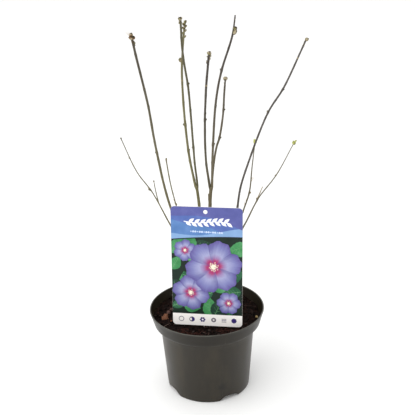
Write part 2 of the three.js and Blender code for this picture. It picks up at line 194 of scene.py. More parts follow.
# The limbs: the knees each bends at, its thickness at foot, middle and tip, the length of the twig that
# ends it, the thinner point of that twig, and the tone of its bark
LIMBS = {
    "bough_left": {
        "knees": [
            (0.5, 6.5, 147), (-48, 6, 288), (-63.3, 1, 373),
            (-71.5, -10, 445), (-81, -28, 507), (-85.5, -41, 540.5),
        ],
        "thick": (3.5, 2.9, 2.8), "twig": 24, "tone": "umber", "mass": "twig_left",
    },
    "bough_mid_left": {
        "knees": [(2.5, 10.5, 147), (-6.7, 12, 284), (-9.7, 13, 315)],
        "thick": (4.5, 4, 3.6), "tone": "olive", "forks": True,
    },
    "bough_centre": {
        "knees": [(6.5, 6.8, 147), (8.5, 9, 286), (10.5, 9, 314.5)],
        "thick": (5, 4.7, 4.3), "tone": "fawn", "forks": True,
    },
    "bough_right": {
        "knees": [
            (9, 9, 147), (38, 8, 224), (47, 8, 278), (52, 9, 311),
            (61.6, 10, 343), (91.8, 16, 420), (113.5, 19, 454), (143, 26, 516),
        ],
        "thick": (3.4, 2.5, 2.1), "twig": 18, "tone": "grey", "mass": "twig_right",
    },
    "arm_mid_left_tall": {
        "knees": [
            (-11.5, 13.2, 315.9), (-18.4, 18, 356), (-23, 26, 404),
            (-25.3, 38, 469), (-23, 43, 507), (-19, 48, 541),
        ],
        "thick": (3.1, 2.8, 2.5), "twig": 42, "tone": "olive", "mass": "twig_mid_left_tall",
    },
    "arm_mid_left_front": {
        "knees": [
            (-8.3, 12.6, 315.9), (-11.5, 9, 356), (-13.7, 1, 408),
            (-16.5, -11, 465), (-22, -24, 515), (-23, -38, 562),
        ],
        "thick": (2.5, 2.5, 2.4), "twig": 22, "tone": "moss", "mass": "twig_mid_left_front",
    },
    "arm_centre_front": {
        "knees": [(8.9, 8.1, 315.3), (4.8, 4, 353), (4, -7, 402), (7, -21, 466), (12, -34, 516)],
        "thick": (2.9, 2.6, 2.7), "twig": 20, "tone": "loam", "mass": "twig_centre_front",
    },
    "arm_centre_tall": {
        "knees": [
            (12.1, 8.1, 315.3), (14.4, 9, 370), (20.8, 10, 444),
            (29, 10, 483), (44, 11, 529), (48, 12, 555),
        ],
        "thick": (3, 2.7, 2.3), "twig": 44, "point": (21, 1.9, 1.4), "tone": "fawn",
        "mass": "twig_centre_tall",
    },
    "arm_centre_back": {
        "knees": [
            (11.5, 11.3, 315.3), (15.6, 18, 348), (20.2, 27, 369), (24.5, 31, 381),
            (30.8, 45, 413), (32.8, 54, 436), (35, 62, 456),
        ],
        "thick": (2.8, 2.6, 2.4), "twig": 24, "point": (11, 2.2, 2), "tone": "fawn",
        "mass": "twig_centre_back",
    },
    "shoot_outer_left": {
        "knees": [(-16.6, 5.8, 194), (-49, 3, 261), (-71, -12, 317), (-90, -28, 355), (-107, -46, 409)],
        "thick": (2.6, 1.4, 0.7), "tone": "umber",
    },
    "shoot_low_left": {
        "knees": [(-14.2, 8.2, 190), (-40, 30, 278), (-48, 50, 305), (-54, 70, 337)],
        "thick": (2.2, 1.4, 1.5), "tone": "umber",
    },
    "shoot_low_right": {
        "knees": [(33.6, 9.3, 211), (58, 34, 269), (67, 44, 292), (72, 55, 329), (77, 66, 361)],
        "thick": (2.1, 1.9, 1), "twig": 10, "tone": "straw", "mass": "leafbud_low_right",
    },
    "shoot_outer_right": {
        "knees": [(36.6, 7.3, 217), (59, 3, 261), (76.8, -4, 301), (101.5, -12, 339), (124, -22, 388)],
        "thick": (2.5, 1.4, 0.7), "twig": 9, "tone": "straw", "mass": "leafbud_outer_right",
    },
}
# Short side shoots: the limb each leaves, how far up, its tip, and its thickness at foot, middle and tip
SIDE_TWIG = {"from": "shoot_outer_left", "leaves": 0.48, "tip": (-68, -20, 337), "thick": (1.1, 1, 0.8)}
CUT_STUB = {"from": "bough_centre", "leaves": 0.7, "tip": (7.2, 8.2, 305), "thick": (2.4, 2.1, 1.9)}
SPRIG = {"from": "shoot_outer_right", "leaves": 0.42, "tip": (82.6, -6.5, 319.5), "thick": (1.2, 1, 0.7)}
# The tones of bark, in the order in which the limbs grow
TONES = ("umber", "olive", "moss", "loam", "fawn", "grey", "straw")
# How much of the darker, purplish bark a tone takes on towards the tips: partly the young bark's own colour,
# partly painted light that keeps the lower stems paler
YOUTH_AND_PAINTED_LIGHT = {"umber": 0.75, "olive": 0.15, "moss": 0.2, "loam": 0.9, "fawn": 0.9}
# How far each kind of limb reaches back into what carries it, and how much its foot swells
FEET = {"bough": (0, 0.6), "arm": (7, 0.06), "shoot": (7, 0.5)}

# Scale colours, as places in the list of bud materials
PALE, OLIVE, RUSSET, GREEN, HEART = range(5)
DARKER = (OLIVE, HEART)
# The twigs' scale colours and their buds: how far below the tip, the way round from +X towards +Y, width,
# length over width, and the scale colours of a bud that is darker than the rest
TWIGS = {
    "twig_left": (
        (RUSSET, RUSSET, PALE, HEART),
        [(1, 190, 5.4, 1.35), (2, 345, 4.2, 1.3), (-2.5, 80, 4, 1.4), (10, 350, 2.3, 1.6, DARKER)],
    ),
    "twig_mid_left_tall": (
        (OLIVE, PALE, OLIVE, HEART),
        [
            (0, 0, 3.6, 1.4), (4, 190, 2.8, 1.5), (6, 350, 2.6, 1.5), (9, 185, 2.4, 1.7),
            (12, 0, 2.4, 1.8), (16, 190, 2.2, 1.8), (20, 0, 2.4, 1.8),
            (2.5, 270, 3, 1.5), (8, 270, 2.6, 1.7), (14, 270, 2.4, 1.8),
        ],
    ),
    "twig_mid_left_front": ((PALE, OLIVE), [(1, 180, 4.7, 0.95), (7, 190, 2, 1.5)]),
    "twig_centre_front": (
        (OLIVE, OLIVE, PALE), [(1, 90, 5, 1.1), (5.5, 10, 2.2, 1.8), (13, 180, 1.4, 2.6)],
    ),
    "twig_centre_tall": ((PALE, PALE, OLIVE), [(18.5, 350, 4.8, 1.25, DARKER), (24, 345, 4.4, 1.8)]),
    "twig_centre_back": ((PALE,), [(-1, 90, 5.6, 1.1)]),
    "twig_right": ((PALE, OLIVE, OLIVE, HEART), [(-1.2, 0, 4.2, 1.35)]),
    "leafbud_low_right": ((GREEN,), [(1, 180, 3.4, 1.8)]),
    "leafbud_outer_right": (
        (GREEN,), [(1, 180, 3.8, 1.3), (-2, 0, 2.2, 2.2), (2.2, 0, 2.6, 1.5, DARKER)],
    ),
}
# The stump of a bud below the tip of an arm, given like a bud
KNOB = {"arm_mid_left_tall": (53, 180, 4.6, 1.5)}
# Joints that show: how far along the limb, the way round, width, and length over width of the bud there
JOINTS = {
    "bough_left": [(234, 180, 1.1, 2.4), (398, 350, 1.4, 1.6)],
    "bough_right": [(287, 170, 1.4, 2.6), (324, 0, 1.1, 2.4)],
    "arm_mid_left_tall": [(88, 190, 2, 2), (52, 10, 1.2, 2), (176, 10, 2.6, 2)],
    "arm_mid_left_front": [(157, 0, 1.5, 2), (60, 200, 1.2, 2)],
    "arm_centre_front": [(107, 0, 1.5, 2), (191, 190, 1.4, 2.2)],
    "arm_centre_tall": [(63, 0, 1.4, 2.2), (168, 180, 1.5, 2.4)],
    "arm_centre_back": [(110, 0, 1.4, 1.9), (70, 0, 1.8, 1.6)],
    "shoot_outer_left": [(142, 150, 2.4, 2.2), (207, 180, 1.1, 2), (241, 10, 1.9, 1.3)],
    "shoot_low_left": [(166.5, 0, 2.4, 2), (97, 0, 1.5, 1.8)],
    "shoot_low_right": [(92.6, 0, 2, 1.8), (64, 190, 1.2, 2)],
    "shoot_outer_right": [(137.6, 190, 1.3, 2), (91, 170, 1.9, 2.4)],
}
# Pale ring scars, by how far along the limb they are
RINGS = {"bough_right": (371,), "arm_centre_front": (159,), "arm_mid_left_tall": (150,)}
# Dry threads left at joints: how far along the limb, the way round and the length
THREADS = {
    "shoot_low_left": [(99, 190, 5), (103, 200, 4)],
    "shoot_low_right": [(74, 190, 5), (80, 175, 4), (110, 0, 6), (113, 10, 4)],
    "shoot_outer_left": [(146, 160, 4)],
    "shoot_outer_right": [(95, 120, 4)],
}
# The young leaves at a tip: the way each leans in degrees, how far, its length and width, and its green
LEAFLETS = {
    "leafbud_low_right": [
        (180, 0.5, 8.5, 5.6, 0), (215, 0.8, 8, 5.6, 0), (262, 0.6, 7.5, 5.2, 0), (10, 0.4, 6, 3.6, 0),
    ],
    "leafbud_outer_right": [
        (10, 0.4, 8.5, 3.6, 1), (170, 0.9, 6.5, 4.4, 0), (262, 0.5, 6.5, 4.6, 0), (90, 0.4, 6, 4, 0),
    ],
}
# Dry wisps round the topmost buds, and the longer tuft of one twig, which leans to the left
WISP = {"long": 3.4, "thick": 0.4}
TUFT = {"on": "twig_left", "times": 3, "long": 8.5, "lean": 0.35}
# How a bud sits on a tip and on a side: its lean, how far out and how far up
SEAT_CAP = {"lean": 0.2, "out": 0.08, "rise": 0.15}
SEAT_SIDE = {"lean": 0.4, "out": 0.02, "rise": 0.3}
# The small scales below a tip: their seed and number, and how far down, how wide and how long they are
SCALES = {"seed": 41, "count": 3, "first": 2, "within": 7, "wide": 0.55, "long": 1.6}
# The paints of a limb, as places in its list of materials
BARK, SCAR = 0, 1


def srgb(red, green, blue):
    """A colour given as 0 to 255 screen values, as the linear values that shaders take."""
    screen = (value / 255 for value in (red, green, blue))
    return tuple(((value + 0.055) / 1.055) ** 2.4 if value > 0.04 else value / 12.92 for value in screen)


def tint(name, description, red, green, blue):
    """A colour property whose default is given as screen values."""
    return FloatVectorProperty(
        name=name, description=description, default=srgb(red, green, blue), subtype="COLOR", min=0, max=1,
    )


def number(name, description, default, unit="NONE"):
    """A number property; an angle's default is given in degrees and shown as an angle."""
    if unit == "ROTATION":
        default = math.radians(default)
    return FloatProperty(name=name, description=description, default=default, unit=unit)


def whole(name, description, default, least=0):
    """A whole-number property."""
    return IntProperty(name=name, description=description, default=default, min=least)


# Properties

class StageLooks(bpy.types.PropertyGroup):
    """Camera, light and floor."""

    distance: number("Camera distance", "From the camera to the middle of the pot's rim", 1.3, "LENGTH")
    above: number("Angle above the rim", "How far the camera stands above the rim", 29.2, "ROTATION")
    pitch: number("Camera pitch", "How far the camera looks down", 22.706, "ROTATION")
    roll: number("Camera roll", "How far the camera leans sideways", -1.62, "ROTATION")
    lens: number("Lens, mm", "Focal length of the camera", 75.17)
    shift_x: number("Sideways shift", "Shift of the picture in its own widths", 0.0083)
    shift_y: number("Upward shift", "Shift of the picture in its own heights", 0.0006)
    key_power: number("Key light, W", "Power of the soft light in front", 7.5)
    key_width: number("Key light width", "Side of the square key light", 1.3, "LENGTH")
    fill_power: number("Fill light, W", "Power of the wide light on the left", 3.5)
    fill_width: number("Fill light width", "Side of the square fill light", 0.8, "LENGTH")
    sky_power: number("Sky light", "Strength of the even light from all round", 1.09)
    floor: tint("Floor", "Colour of the floor", 249, 249, 248)


class BarkLooks(bpy.types.PropertyGroup):
    """Bark of the trunk, boughs and twigs."""

    relief: number("Relief, mm", "Height of the ridges on the young bark", 0.07)
    stock_relief: number("Relief of the trunk, mm", "Height of the ridges on the trunk", 0.45)
    step: number("Length of a mesh step, mm", "Spacing of the rings of a limb's mesh", 1.6)
    umber: tint("Brown bark", "Bark of the left bough and the left shoots", 108, 102, 73)
    olive: tint("Olive bark", "Bark of the tall stem left of the middle", 109, 104, 70)
    moss: tint("Dark olive bark", "Bark of the short stem left of the middle", 86, 82, 58)
    loam: tint("Dusky bark", "Bark of the short stem at the front", 86, 80, 58)
    fawn: tint("Pale bark", "Bark of the central stems", 110, 101, 77)
    grey: tint("Grey bark", "Bark of the right bough", 76, 71, 66)
    # The bark blends towards this colour higher up: partly the young bark's own colour, partly painted light
    # that keeps the lower stems paler
    plum: tint("Young bark", "Purplish bark towards the tips", 58, 51, 49)
    straw: tint("Straw bark", "Bark of the thin right shoots", 98, 91, 72)
    old: tint("Old bark", "Bark of the trunk", 92, 78, 60)
    scar: tint("Scars and bud scales", "Corky scars and the buds at joints", 138, 124, 92)


class BudLooks(bpy.types.PropertyGroup):
    """Buds, scales, leaflets and wisps."""

    scales: whole("Scales on a bud", "Overlapping scales round each bud at a tip", 9, 3)
    wisps: whole("Wisps at a tip", "Dry threads that stand up at each tip", 4)
    pale: tint("Pale scale", "Palest bud scales", 166, 154, 127)
    olive: tint("Olive scale", "Greenish bud scales", 132, 126, 84)
    russet: tint("Brown scale", "Brown bud scales", 116, 84, 50)
    heart: tint("Dark heart", "Inside of a bud, and its darkest scales", 66, 54, 34)
    green: tint("Young leaf", "Leaflets that have just opened", 186, 190, 108)
    # Painted shade: a darker copy of the young leaf green, for the leaflet at the tip of the right shoot
    shaded: tint("Shaded leaf", "The leaflet at the tip of the right shoot", 150, 152, 106)
    wisp: tint("Wisp", "Dry threads", 196, 170, 124)


class SoilLooks(bpy.types.PropertyGroup):
    """Peat, crumbs, fibres and bark chips."""

    seed: whole("Seed", "Seed of everything strewn on the soil", 17)
    crumbs: whole("Crumbs", "Lumps of peat on the bed", 1500)
    fibres: whole("Fibres", "Peat threads and fine roots", 560)
    front_fibres: whole("Front fibres", "Reddish threads in front of the card", 130)
    chips: whole("Bark chips", "Broken pieces of bark", 46)
    peat: tint("Peat", "The bed of peat", 21, 11, 8)
    dark: tint("Dark crumb", "Most of the lumps", 14, 7, 5)
    brown: tint("Brown crumb", "Drier lumps and threads", 42, 24, 18)
    rust: tint("Rusty fibre", "Reddish threads", 64, 41, 35)
    straw: tint("Pale fibre", "Dry pale threads", 118, 98, 90)
    red: tint("Red fibre", "Threads in front of the card", 88, 52, 44)
    bark: tint("Bark lump", "The biggest lump of bark, on the left", 122, 82, 62)
    pink: tint("Pinkish lump", "The lumps next to it", 96, 72, 66)
    chip_rust: tint("Rusty chip", "Reddish chips of bark", 96, 58, 44)
    chip_brown: tint("Brown chip", "Most chips of bark", 40, 27, 23)
    chip_grey: tint("Grey chip", "Weathered chips of bark", 58, 48, 44)
    chip_tan: tint("Tan chip", "The chip at the right edge", 150, 128, 84)


class PotLooks(bpy.types.PropertyGroup):
    """The moulded pot."""

    segments: whole("Segments", "Segments round the pot", 240, 48)
    plastic: tint("Plastic", "The pot's plastic", 30, 24, 10)
    # Painted shade: darker than the body's plastic, so that the lip, which catches more light, comes out no
    # brighter than the body
    lip: tint("Lip", "Plastic of the lip", 25, 20, 9)
    dust: tint("Dust", "Film of dust and lime on the plastic", 78, 69, 50)
    patch: tint("Patch", "Dark stain low on the front", 8, 7, 5)
    # Painted highlight: a pale colour along the top of the rim that stands in for the light it catches
    highlighted: tint("Highlighted rim", "Plastic rubbed pale along the top of the rim", 88, 87, 80)
    roughness: number("Roughness", "How matt the plastic is", 0.36)


class TagLooks(bpy.types.PropertyGroup):
    """The printed card."""

    seed: whole("Seed", "Seed of the printed leaves", 5)
    petals: whole("Petals", "Petals of each printed blossom", 6, 3)
    violet: tint("Violet", "Right part of the header", 84, 88, 150)
    blue: tint("Blue", "Middle of the header", 84, 122, 176)
    pale_blue: tint("Pale blue", "Sweep along the foot of the header", 124, 158, 200)
    dusk: tint("Blue violet", "Left part of the header", 80, 102, 166)
    shade: tint("Leaf shade", "Dark ground of the picture", 12, 34, 24)
    leaf: tint("Leaf", "Printed leaves in the light", 60, 132, 78)
    leaf_deep: tint("Leaf in shade", "Printed leaves in shade", 34, 88, 58)
    leaf_dark: tint("Leaf far behind", "Printed leaves far behind", 24, 56, 42)
    rib: tint("Leaf rib", "Ribs and veins of the printed leaves", 96, 150, 100)
    throat: tint("Throat", "Petals next to the eye", 142, 112, 160)
    petal_light: tint("Pale petal", "Middle of each petal", 150, 152, 190)
    petal: tint("Petal", "Outer part of each petal", 112, 114, 168)
    petal_edge: tint("Petal edge", "Rim of each petal", 84, 72, 140)
    petal_shade: tint("Petal shade", "Where one petal shades the next", 68, 58, 126)
    eye: tint("Eye", "Dark eye of each blossom", 156, 26, 92)
    cream: tint("Cream", "Middle of each blossom", 232, 226, 200)
    paper: tint("Strip", "Strip along the foot of the card", 250, 246, 242)
    ink: tint("Marks", "Signs printed on the strip", 58, 46, 112)
    garland: tint("Sprig", "White sprig in the header", 236, 236, 240)
    bead: tint("Beads", "Row of beads under the sprig", 190, 206, 234)
    mark_grey: tint("Grey marks", "The grey signs on the strip", 104, 100, 110)
    line: tint("Line", "Dark line under the header", 24, 34, 40)
    stock: tint("Card stock", "The bare card and its pin", 226, 222, 216)
    dust: tint("Dust", "Dust on the card and its pin", 190, 184, 172)


# Shader helpers

def shades(looks, *names):
    """Some of the colours among a set of properties, by name."""
    return {name: getattr(looks, name) for name in names}


class ShaderTree:
    """A node tree with short calls for its nodes; a socket takes another node's output or a plain value."""

    def __init__(self, tree):
        self.tree = tree

    def node(self, kind, sockets=None, **settings):
        """A new node with its sockets filled and its settings made."""
        made = self.tree.nodes.new(kind)
        for key, value in settings.items():
            setattr(made, key, value)
        for key, value in (sockets or {}).items():
            if isinstance(value, bpy.types.NodeSocket):
                self.tree.links.new(value, made.inputs[key])
            else:
                made.inputs[key].default_value = value
        return made

    def join(self, value, socket):
        """Leads an output to an input."""
        self.tree.links.new(value, socket)

    def times(self, first, second):
        """The product of two values."""
        return self.node("ShaderNodeMath", {0: first, 1: second}, operation="MULTIPLY").outputs[0]

    def plus(self, first, second):
        """The sum of two values."""
        return self.node("ShaderNodeMath", {0: first, 1: second}, operation="ADD").outputs[0]

    def spread(self, value, low, high, out_low=0.0, out_high=1.0):
        """Maps one range of values onto another."""
        sockets = {"Value": value, "From Min": low, "From Max": high, "To Min": out_low, "To Max": out_high}
        return self.node("ShaderNodeMapRange", sockets).outputs[0]

    def blend(self, share, first, second):
        """Mixes two colours."""
        return self.node("ShaderNodeMix", {0: share, 6: first, 7: second}, data_type="RGBA").outputs[2]

    def toned(self, colour, value, saturation=1.0):
        """A darker or paler shade of a colour."""
        sockets = {"Color": colour, "Saturation": saturation, "Value": value}
        return self.node("ShaderNodeHueSaturation", sockets).outputs[0]

    def noise(self, where, scale, detail, roughness=0.55):
        """Cloudy noise from 0 to 1."""
        sockets = {"Vector": where, "Scale": scale, "Detail": detail, "Roughness": roughness}
        return self.node("ShaderNodeTexNoise", sockets).outputs[0]

    def place(self, stretch=(1, 1, 1)):
        """Where a point is in the frame, with each axis scaled."""
        where = self.node("ShaderNodeTexCoord").outputs["Object"]
        return self.node("ShaderNodeMapping", {"Vector": where, "Scale": stretch}).outputs[0]

    def split(self, vector):
        """The three parts of a vector."""
        return self.node("ShaderNodeSeparateXYZ", {0: vector}).outputs

    def bump(self, height, strength, depth):
        """The normal of a relief; its depth is in millimetres."""
        sockets = {"Height": height, "Strength": strength, "Distance": depth * MM}
        return self.node("ShaderNodeBump", sockets).outputs[0]


def bark_group(tree, given):
    """Smooth young bark: fibres that run up the stem, darker blotches and pale corky dots."""
    # Darker and more purplish higher up: partly the young bark's own colour, partly painted light that keeps
    # the lower stems paler
    youth_and_painted_light = tree.times(tree.spread(tree.split(tree.place())["Z"], 0.27, 0.5), given["Youth_and_painted_light"])
    base = tree.blend(youth_and_painted_light, given["Base"], given["Young"])
    fibres = tree.noise(tree.place((1, 1, 0.1)), 1500, 5)
    blotches = tree.noise(tree.place((1, 1, 0.35)), 90, 3)
    dots = tree.node("ShaderNodeTexVoronoi", {"Vector": tree.place((1, 1, 0.55)), "Scale": 330}).outputs[0]
    corky = tree.spread(dots, 0.2, 0.08)
    depth = tree.times(tree.spread(fibres, 0.35, 0.7), given["Contrast"])
    shaded = tree.blend(tree.times(depth, 0.55), base, tree.toned(base, 0.52, 1.1))
    pale = tree.toned(base, 1.45, 0.8)
    mottled = tree.blend(tree.spread(blotches, 0.45, 0.72, 0.0, 0.6), shaded, pale)
    dotted = tree.blend(tree.times(corky, 0.55), mottled, pale)
    raised = tree.plus(tree.times(fibres, given["Grain"]), corky)
    return dotted, tree.spread(fibres, 0.3, 0.7, 0.62, 0.82), raised


def crumbly_group(tree, given):
    """Peat and bark bits: lumps at two scales, painted darker in the hollows of their relief and paler on
    its tops, as painted shade and painted highlight.
    """
    lumps = tree.noise(tree.place(), given["Scale"], 6, 0.65)
    # Painted shade in the hollows and painted highlight on the tops: the colour follows the noise that
    # raises the bump
    shaded_hollows = tree.blend(tree.spread(lumps, 0.35, 0.55), tree.toned(given["Base"], 0.45), given["Base"])
    lit = tree.blend(tree.spread(lumps, 0.58, 0.75), shaded_hollows, tree.toned(given["Base"], 1.7))
    return lit, tree.spread(lumps, 0.3, 0.7, 0.95, 0.8), lumps


def plastic_group(tree, given):
    """Moulded plastic: faint flow streaks, fine speckle, scuffs and a film of dust."""
    speckle = tree.noise(tree.place(), 2600, 2)
    streaks = tree.noise(tree.place((1, 1, 0.04)), 60, 4)
    film = tree.noise(tree.place((1, 1, 0.5)), 34, 6, 0.62)
    scuffs = tree.noise(tree.place((0.35, 1, 1.6)), 160, 5, 0.7)
    streaked = tree.blend(tree.spread(streaks, 0.35, 0.65), tree.toned(given["Base"], 0.82), given["Base"])
    amount = tree.times(tree.spread(film, 0.48, 0.75), given["Dustiness"])
    dusty = tree.blend(amount, streaked, given["Dust"])
    scuffed = tree.blend(tree.spread(scuffs, 0.66, 0.78, 0.0, 0.3), dusty, given["Dust"])
    rough = tree.plus(given["Gloss"], tree.spread(film, 0.3, 0.8, -0.05, 0.12))
    return scuffed, rough, tree.plus(tree.times(speckle, 0.5), scuffs)


def ink_group(tree, given):
    """Ink on coated card: faint mottling and a slightly uneven gloss."""
    where = tree.place()
    mottle = tree.noise(where, 55, 5, 0.6)
    low = tree.times(tree.spread(mottle, 0.5, 0.3), given["Mottle"])
    deepened = tree.blend(low, given["Ink"], tree.toned(given["Ink"], 0.6, 1.1))
    high = tree.times(tree.spread(mottle, 0.52, 0.7), given["Mottle"])
    lifted = tree.blend(high, deepened, tree.toned(given["Ink"], 1.4, 0.85))
    return lifted, tree.spread(mottle, 0.3, 0.7, 0.3, 0.42), tree.noise(where, 900, 2)


# The shader groups: what wires each one, its colours, and its numbers with their defaults
GROUPS = {
    "bark": (bark_group, ("Base", "Young"), {"Youth_and_painted_light": 0.0, "Contrast": 1.0, "Grain": 1.0}),
    "crumbly": (crumbly_group, ("Base",), {"Scale": 500.0}),
    "plastic": (plastic_group, ("Base", "Dust"), {"Dustiness": 0.3, "Gloss": 0.4}),
    "ink": (ink_group, ("Ink",), {"Mottle": 0.2}),
}


def group(name):
    """A shader group by name, built the first time it is asked for."""
    if name not in bpy.data.node_groups:
        wire, colours, numbers = GROUPS[name]
        made = bpy.data.node_groups.new(name, "ShaderNodeTree")

        def add_socket(label, kind, way):
            return made.interface.new_socket(name=label, in_out=way, socket_type=kind)

        for label in colours:
            add_socket(label, "NodeSocketColor", "INPUT").default_value = (0.1, 0.1, 0.1, 1)
        for label, value in numbers.items():
            add_socket(label, "NodeSocketFloat", "INPUT").default_value = value
        for label, kind in (("Color", "Color"), ("Roughness", "Float"), ("Height", "Float")):
            add_socket(label, f"NodeSocket{kind}", "OUTPUT")
        given, out = made.nodes.new("NodeGroupInput").outputs, made.nodes.new("NodeGroupOutput").inputs
        for value, socket in zip(wire(ShaderTree(made), given), out):
            made.links.new(value, socket)
    return bpy.data.node_groups[name]


def bare_material(name):
    """An untouched material, its tree and the inputs of its shader."""
    made = bpy.data.materials.new(name)
    made.use_nodes = True
    return made, ShaderTree(made.node_tree), made.node_tree.nodes["Principled BSDF"].inputs


def wear(tree, surface, effect, given):
    """Leads the colour and roughness of a group to a surface, and gives the group's outputs."""
    source = tree.node("ShaderNodeGroup", given, node_tree=group(effect)).outputs
    tree.join(source["Color"], surface["Base Color"])
    tree.join(source["Roughness"], surface["Roughness"])
    return source


def material(name, effect, colours, numbers, bump, shine=0.5):
    """A material from one of the groups; bump is its strength and its depth in millimetres."""
    made, tree, surface = bare_material(name)
    surface["Specular IOR Level"].default_value = shine
    given = {label: (*colour, 1) for label, colour in colours.items()} | numbers
    source = wear(tree, surface, effect, given)
    tree.join(tree.bump(source["Height"], *bump), surface["Normal"])
    return made


def crumbly(kind, colours, scale, bump, shine=0.5):
    """Crumbly materials of one kind, one for each named colour."""
    return [
        material(f"{kind}_{name}", "crumbly", {"Base": colour}, {"Scale": scale}, bump, shine)
        for name, colour in colours.items()
    ]


# Mesh helpers

class Form:
    """Points in millimetres and faces gathered for one mesh; each face has a number for its paint."""

    def __init__(self):
        self.points = []
        self.faces = []
        self.paints = []

    def add(self, points, faces, paint=0):
        """Adds points, and faces that number these points from 0."""
        start = len(self.points)
        self.points.extend(tuple(point) for point in points)
        self.faces.extend(tuple(start + corner for corner in face) for face in faces)
        self.paints.extend([paint] * len(faces))

    def add_grid(self, points, paint=0, wrap=True):
        """Adds an array of points, row by row, as a sheet."""
        self.add(points.reshape(-1, 3), grid_faces(*points.shape[:2], wrap), paint)


def built(name, form, materials, sharp=None, closed=True):
    """A mesh object from a form. Creases wider than the sharp angle stay crisp."""
    mesh = bpy.data.meshes.new(name)
    mesh.from_pydata([Vector(point) * MM for point in form.points], [], form.faces)
    for paint in materials:
        mesh.materials.append(paint)
    mesh.polygons.foreach_set("material_index", form.paints)
    mesh.polygons.foreach_set("use_smooth", [True] * len(form.faces))
    if closed:
        shell = bmesh.new()
        shell.from_mesh(mesh)
        bmesh.ops.recalc_face_normals(shell, faces=shell.faces)
        shell.to_mesh(mesh)
        shell.free()
    if sharp is not None:
        mesh.set_sharp_from_angle(angle=math.radians(sharp))
    made = bpy.data.objects.new(name, mesh)
    bpy.context.scene.collection.objects.link(made)
    return made


def seat(piece, slot, *nodes):
    """Rides the piece on the plant's one body, in place of the named CAD nodes."""
    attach(piece, BODY)
    if nodes:
        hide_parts(*nodes)
    return piece


def grid_faces(rows, columns, wrap=True):
    """Quads between rows of points, joined side to side where it wraps."""
    pairs = [(column, (column + 1) % columns) for column in range(columns if wrap else columns - 1)]
    starts = [(row * columns, (row + 1) * columns) for row in range(rows - 1)]
    return [(low + a, low + b, high + b, high + a) for low, high in starts for a, b in pairs]


def closed_faces(rows, columns):
    """Faces of rows that wrap round, each end closed by a fan: first from a foot point, then from a tip."""
    foot, tip, last = rows * columns, rows * columns + 1, (rows - 1) * columns
    fans = [(foot, (i + 1) % columns, i) for i in range(columns)]
    fans += [(tip, last + i, last + (i + 1) % columns) for i in range(columns)]
    return grid_faces(rows, columns) + fans


def block_faces(rows, columns):
    """Faces of rows that wrap round, with a flat face over each end."""
    ends = [tuple(range(columns)), tuple(range(rows * columns - 1, (rows - 1) * columns - 1, -1))]
    return grid_faces(rows, columns) + ends


def ways_round(count):
    """Even turns of a circle, in radians."""
    return np.linspace(0, 2 * math.pi, count, endpoint=False)


def unit(vectors):
    """Vectors at a length of 1."""
    return vectors / np.linalg.norm(vectors, axis=-1, keepdims=True)


# Limb helpers

def bend(before, start, end, after, shares):
    """Points on one stretch of a centripetal Catmull-Rom curve."""
    pairs = ((before, start), (start, end), (end, after))
    lead, own, trail = (max(np.linalg.norm(b - a) ** 0.5, 1e-4) for a, b in pairs)
    leave = ((start - before) / lead - (end - before) / (lead + own) + (end - start) / own) * own
    arrive = ((end - start) / own - (after - start) / (own + trail) + (after - end) / trail) * own
    t = shares[:, None]
    square = 3 * (end - start) - 2 * leave - arrive
    cube = 2 * (start - end) + leave + arrive
    return start + leave * t + square * t**2 + cube * t**3


class Course:
    """A limb's centre line through its knees, read by the distance from its foot."""

    def __init__(self, knees):
        knots = np.array(knees, float)
        chain = [2 * knots[0] - knots[1], *knots, 2 * knots[-1] - knots[-2]]
        shares = np.linspace(0, 1, 25)[:-1]
        stretches = [bend(*chain[i : i + 4], shares) for i in range(len(knots) - 1)]
        self.points = np.vstack([*stretches, knots[-1:]])
        steps = np.linalg.norm(np.diff(self.points, axis=0), axis=1)
        self.reaches = np.concatenate([[0], np.cumsum(steps)])
        self.length = self.reaches[-1]
        self.headings = unit(np.gradient(self.points, self.reaches, axis=0))

    def at(self, reach):
        """Points and headings at distances from the foot, carried on straight past either end."""
        reach = np.asarray(reach, float)
        inside = np.clip(reach, 0, self.length)
        points, headings = (
            np.stack([np.interp(inside, self.reaches, axis) for axis in table.T], -1)
            for table in (self.points, self.headings)
        )
        headings = unit(headings)
        return points + headings * (reach - inside)[..., None], headings


def across(heading):
    """The two directions square to a heading: to the right, and away from the viewer."""
    right = unit(np.cross(DEPTH, heading))
    return right, np.cross(heading, right)


def sideways(heading, turn):
    """The direction square to a heading, at a turn round it from the right."""
    right, back = across(heading)
    return right * math.cos(turn) + back * math.sin(turn)


def girth(limb, reach, length):
    """Radius of a limb at distances from its foot, with its bark."""
    foot, middle, tip = limb["thick"]
    body = np.interp(reach, [0, length / 2, length], [foot, middle, tip]) / 2 + BARK_DEPTH
    if "point" not in limb:
        return body
    long, wide, narrow = limb["point"]
    ease = np.clip((reach - (length - long - 1.5)) / 3, 0, 1)
    thin = np.interp(reach, [length - long, length], [wide, narrow]) / 2 + BARK_DEPTH
    return body + (thin - body) * ease


def tube(form, course, reaches, sides, radius_of, paint, dome=0.5):
    """Adds a round skin along a course, closed by a rounded end."""
    centres, headings = course.at(reaches)
    right, back = across(headings)
    turns = ways_round(sides)
    radius = radius_of(reaches[:, None], turns[None, :])
    ring = right[:, None] * np.cos(turns)[None, :, None] + back[:, None] * np.sin(turns)[None, :, None]
    points = centres[:, None] + ring * radius[..., None]
    tip_radius = float(radius[-1].mean())
    ends = np.vstack([centres[:1], centres[-1:] + headings[-1:] * tip_radius * dome])
    cap = centres[-1] + ring[-1] * radius[-1][:, None] * 0.72 + headings[-1] * tip_radius * dome * 0.7
    points = np.vstack([points.reshape(-1, 3), cap, ends])
    form.add(points, closed_faces(len(reaches) + 1, sides), paint)


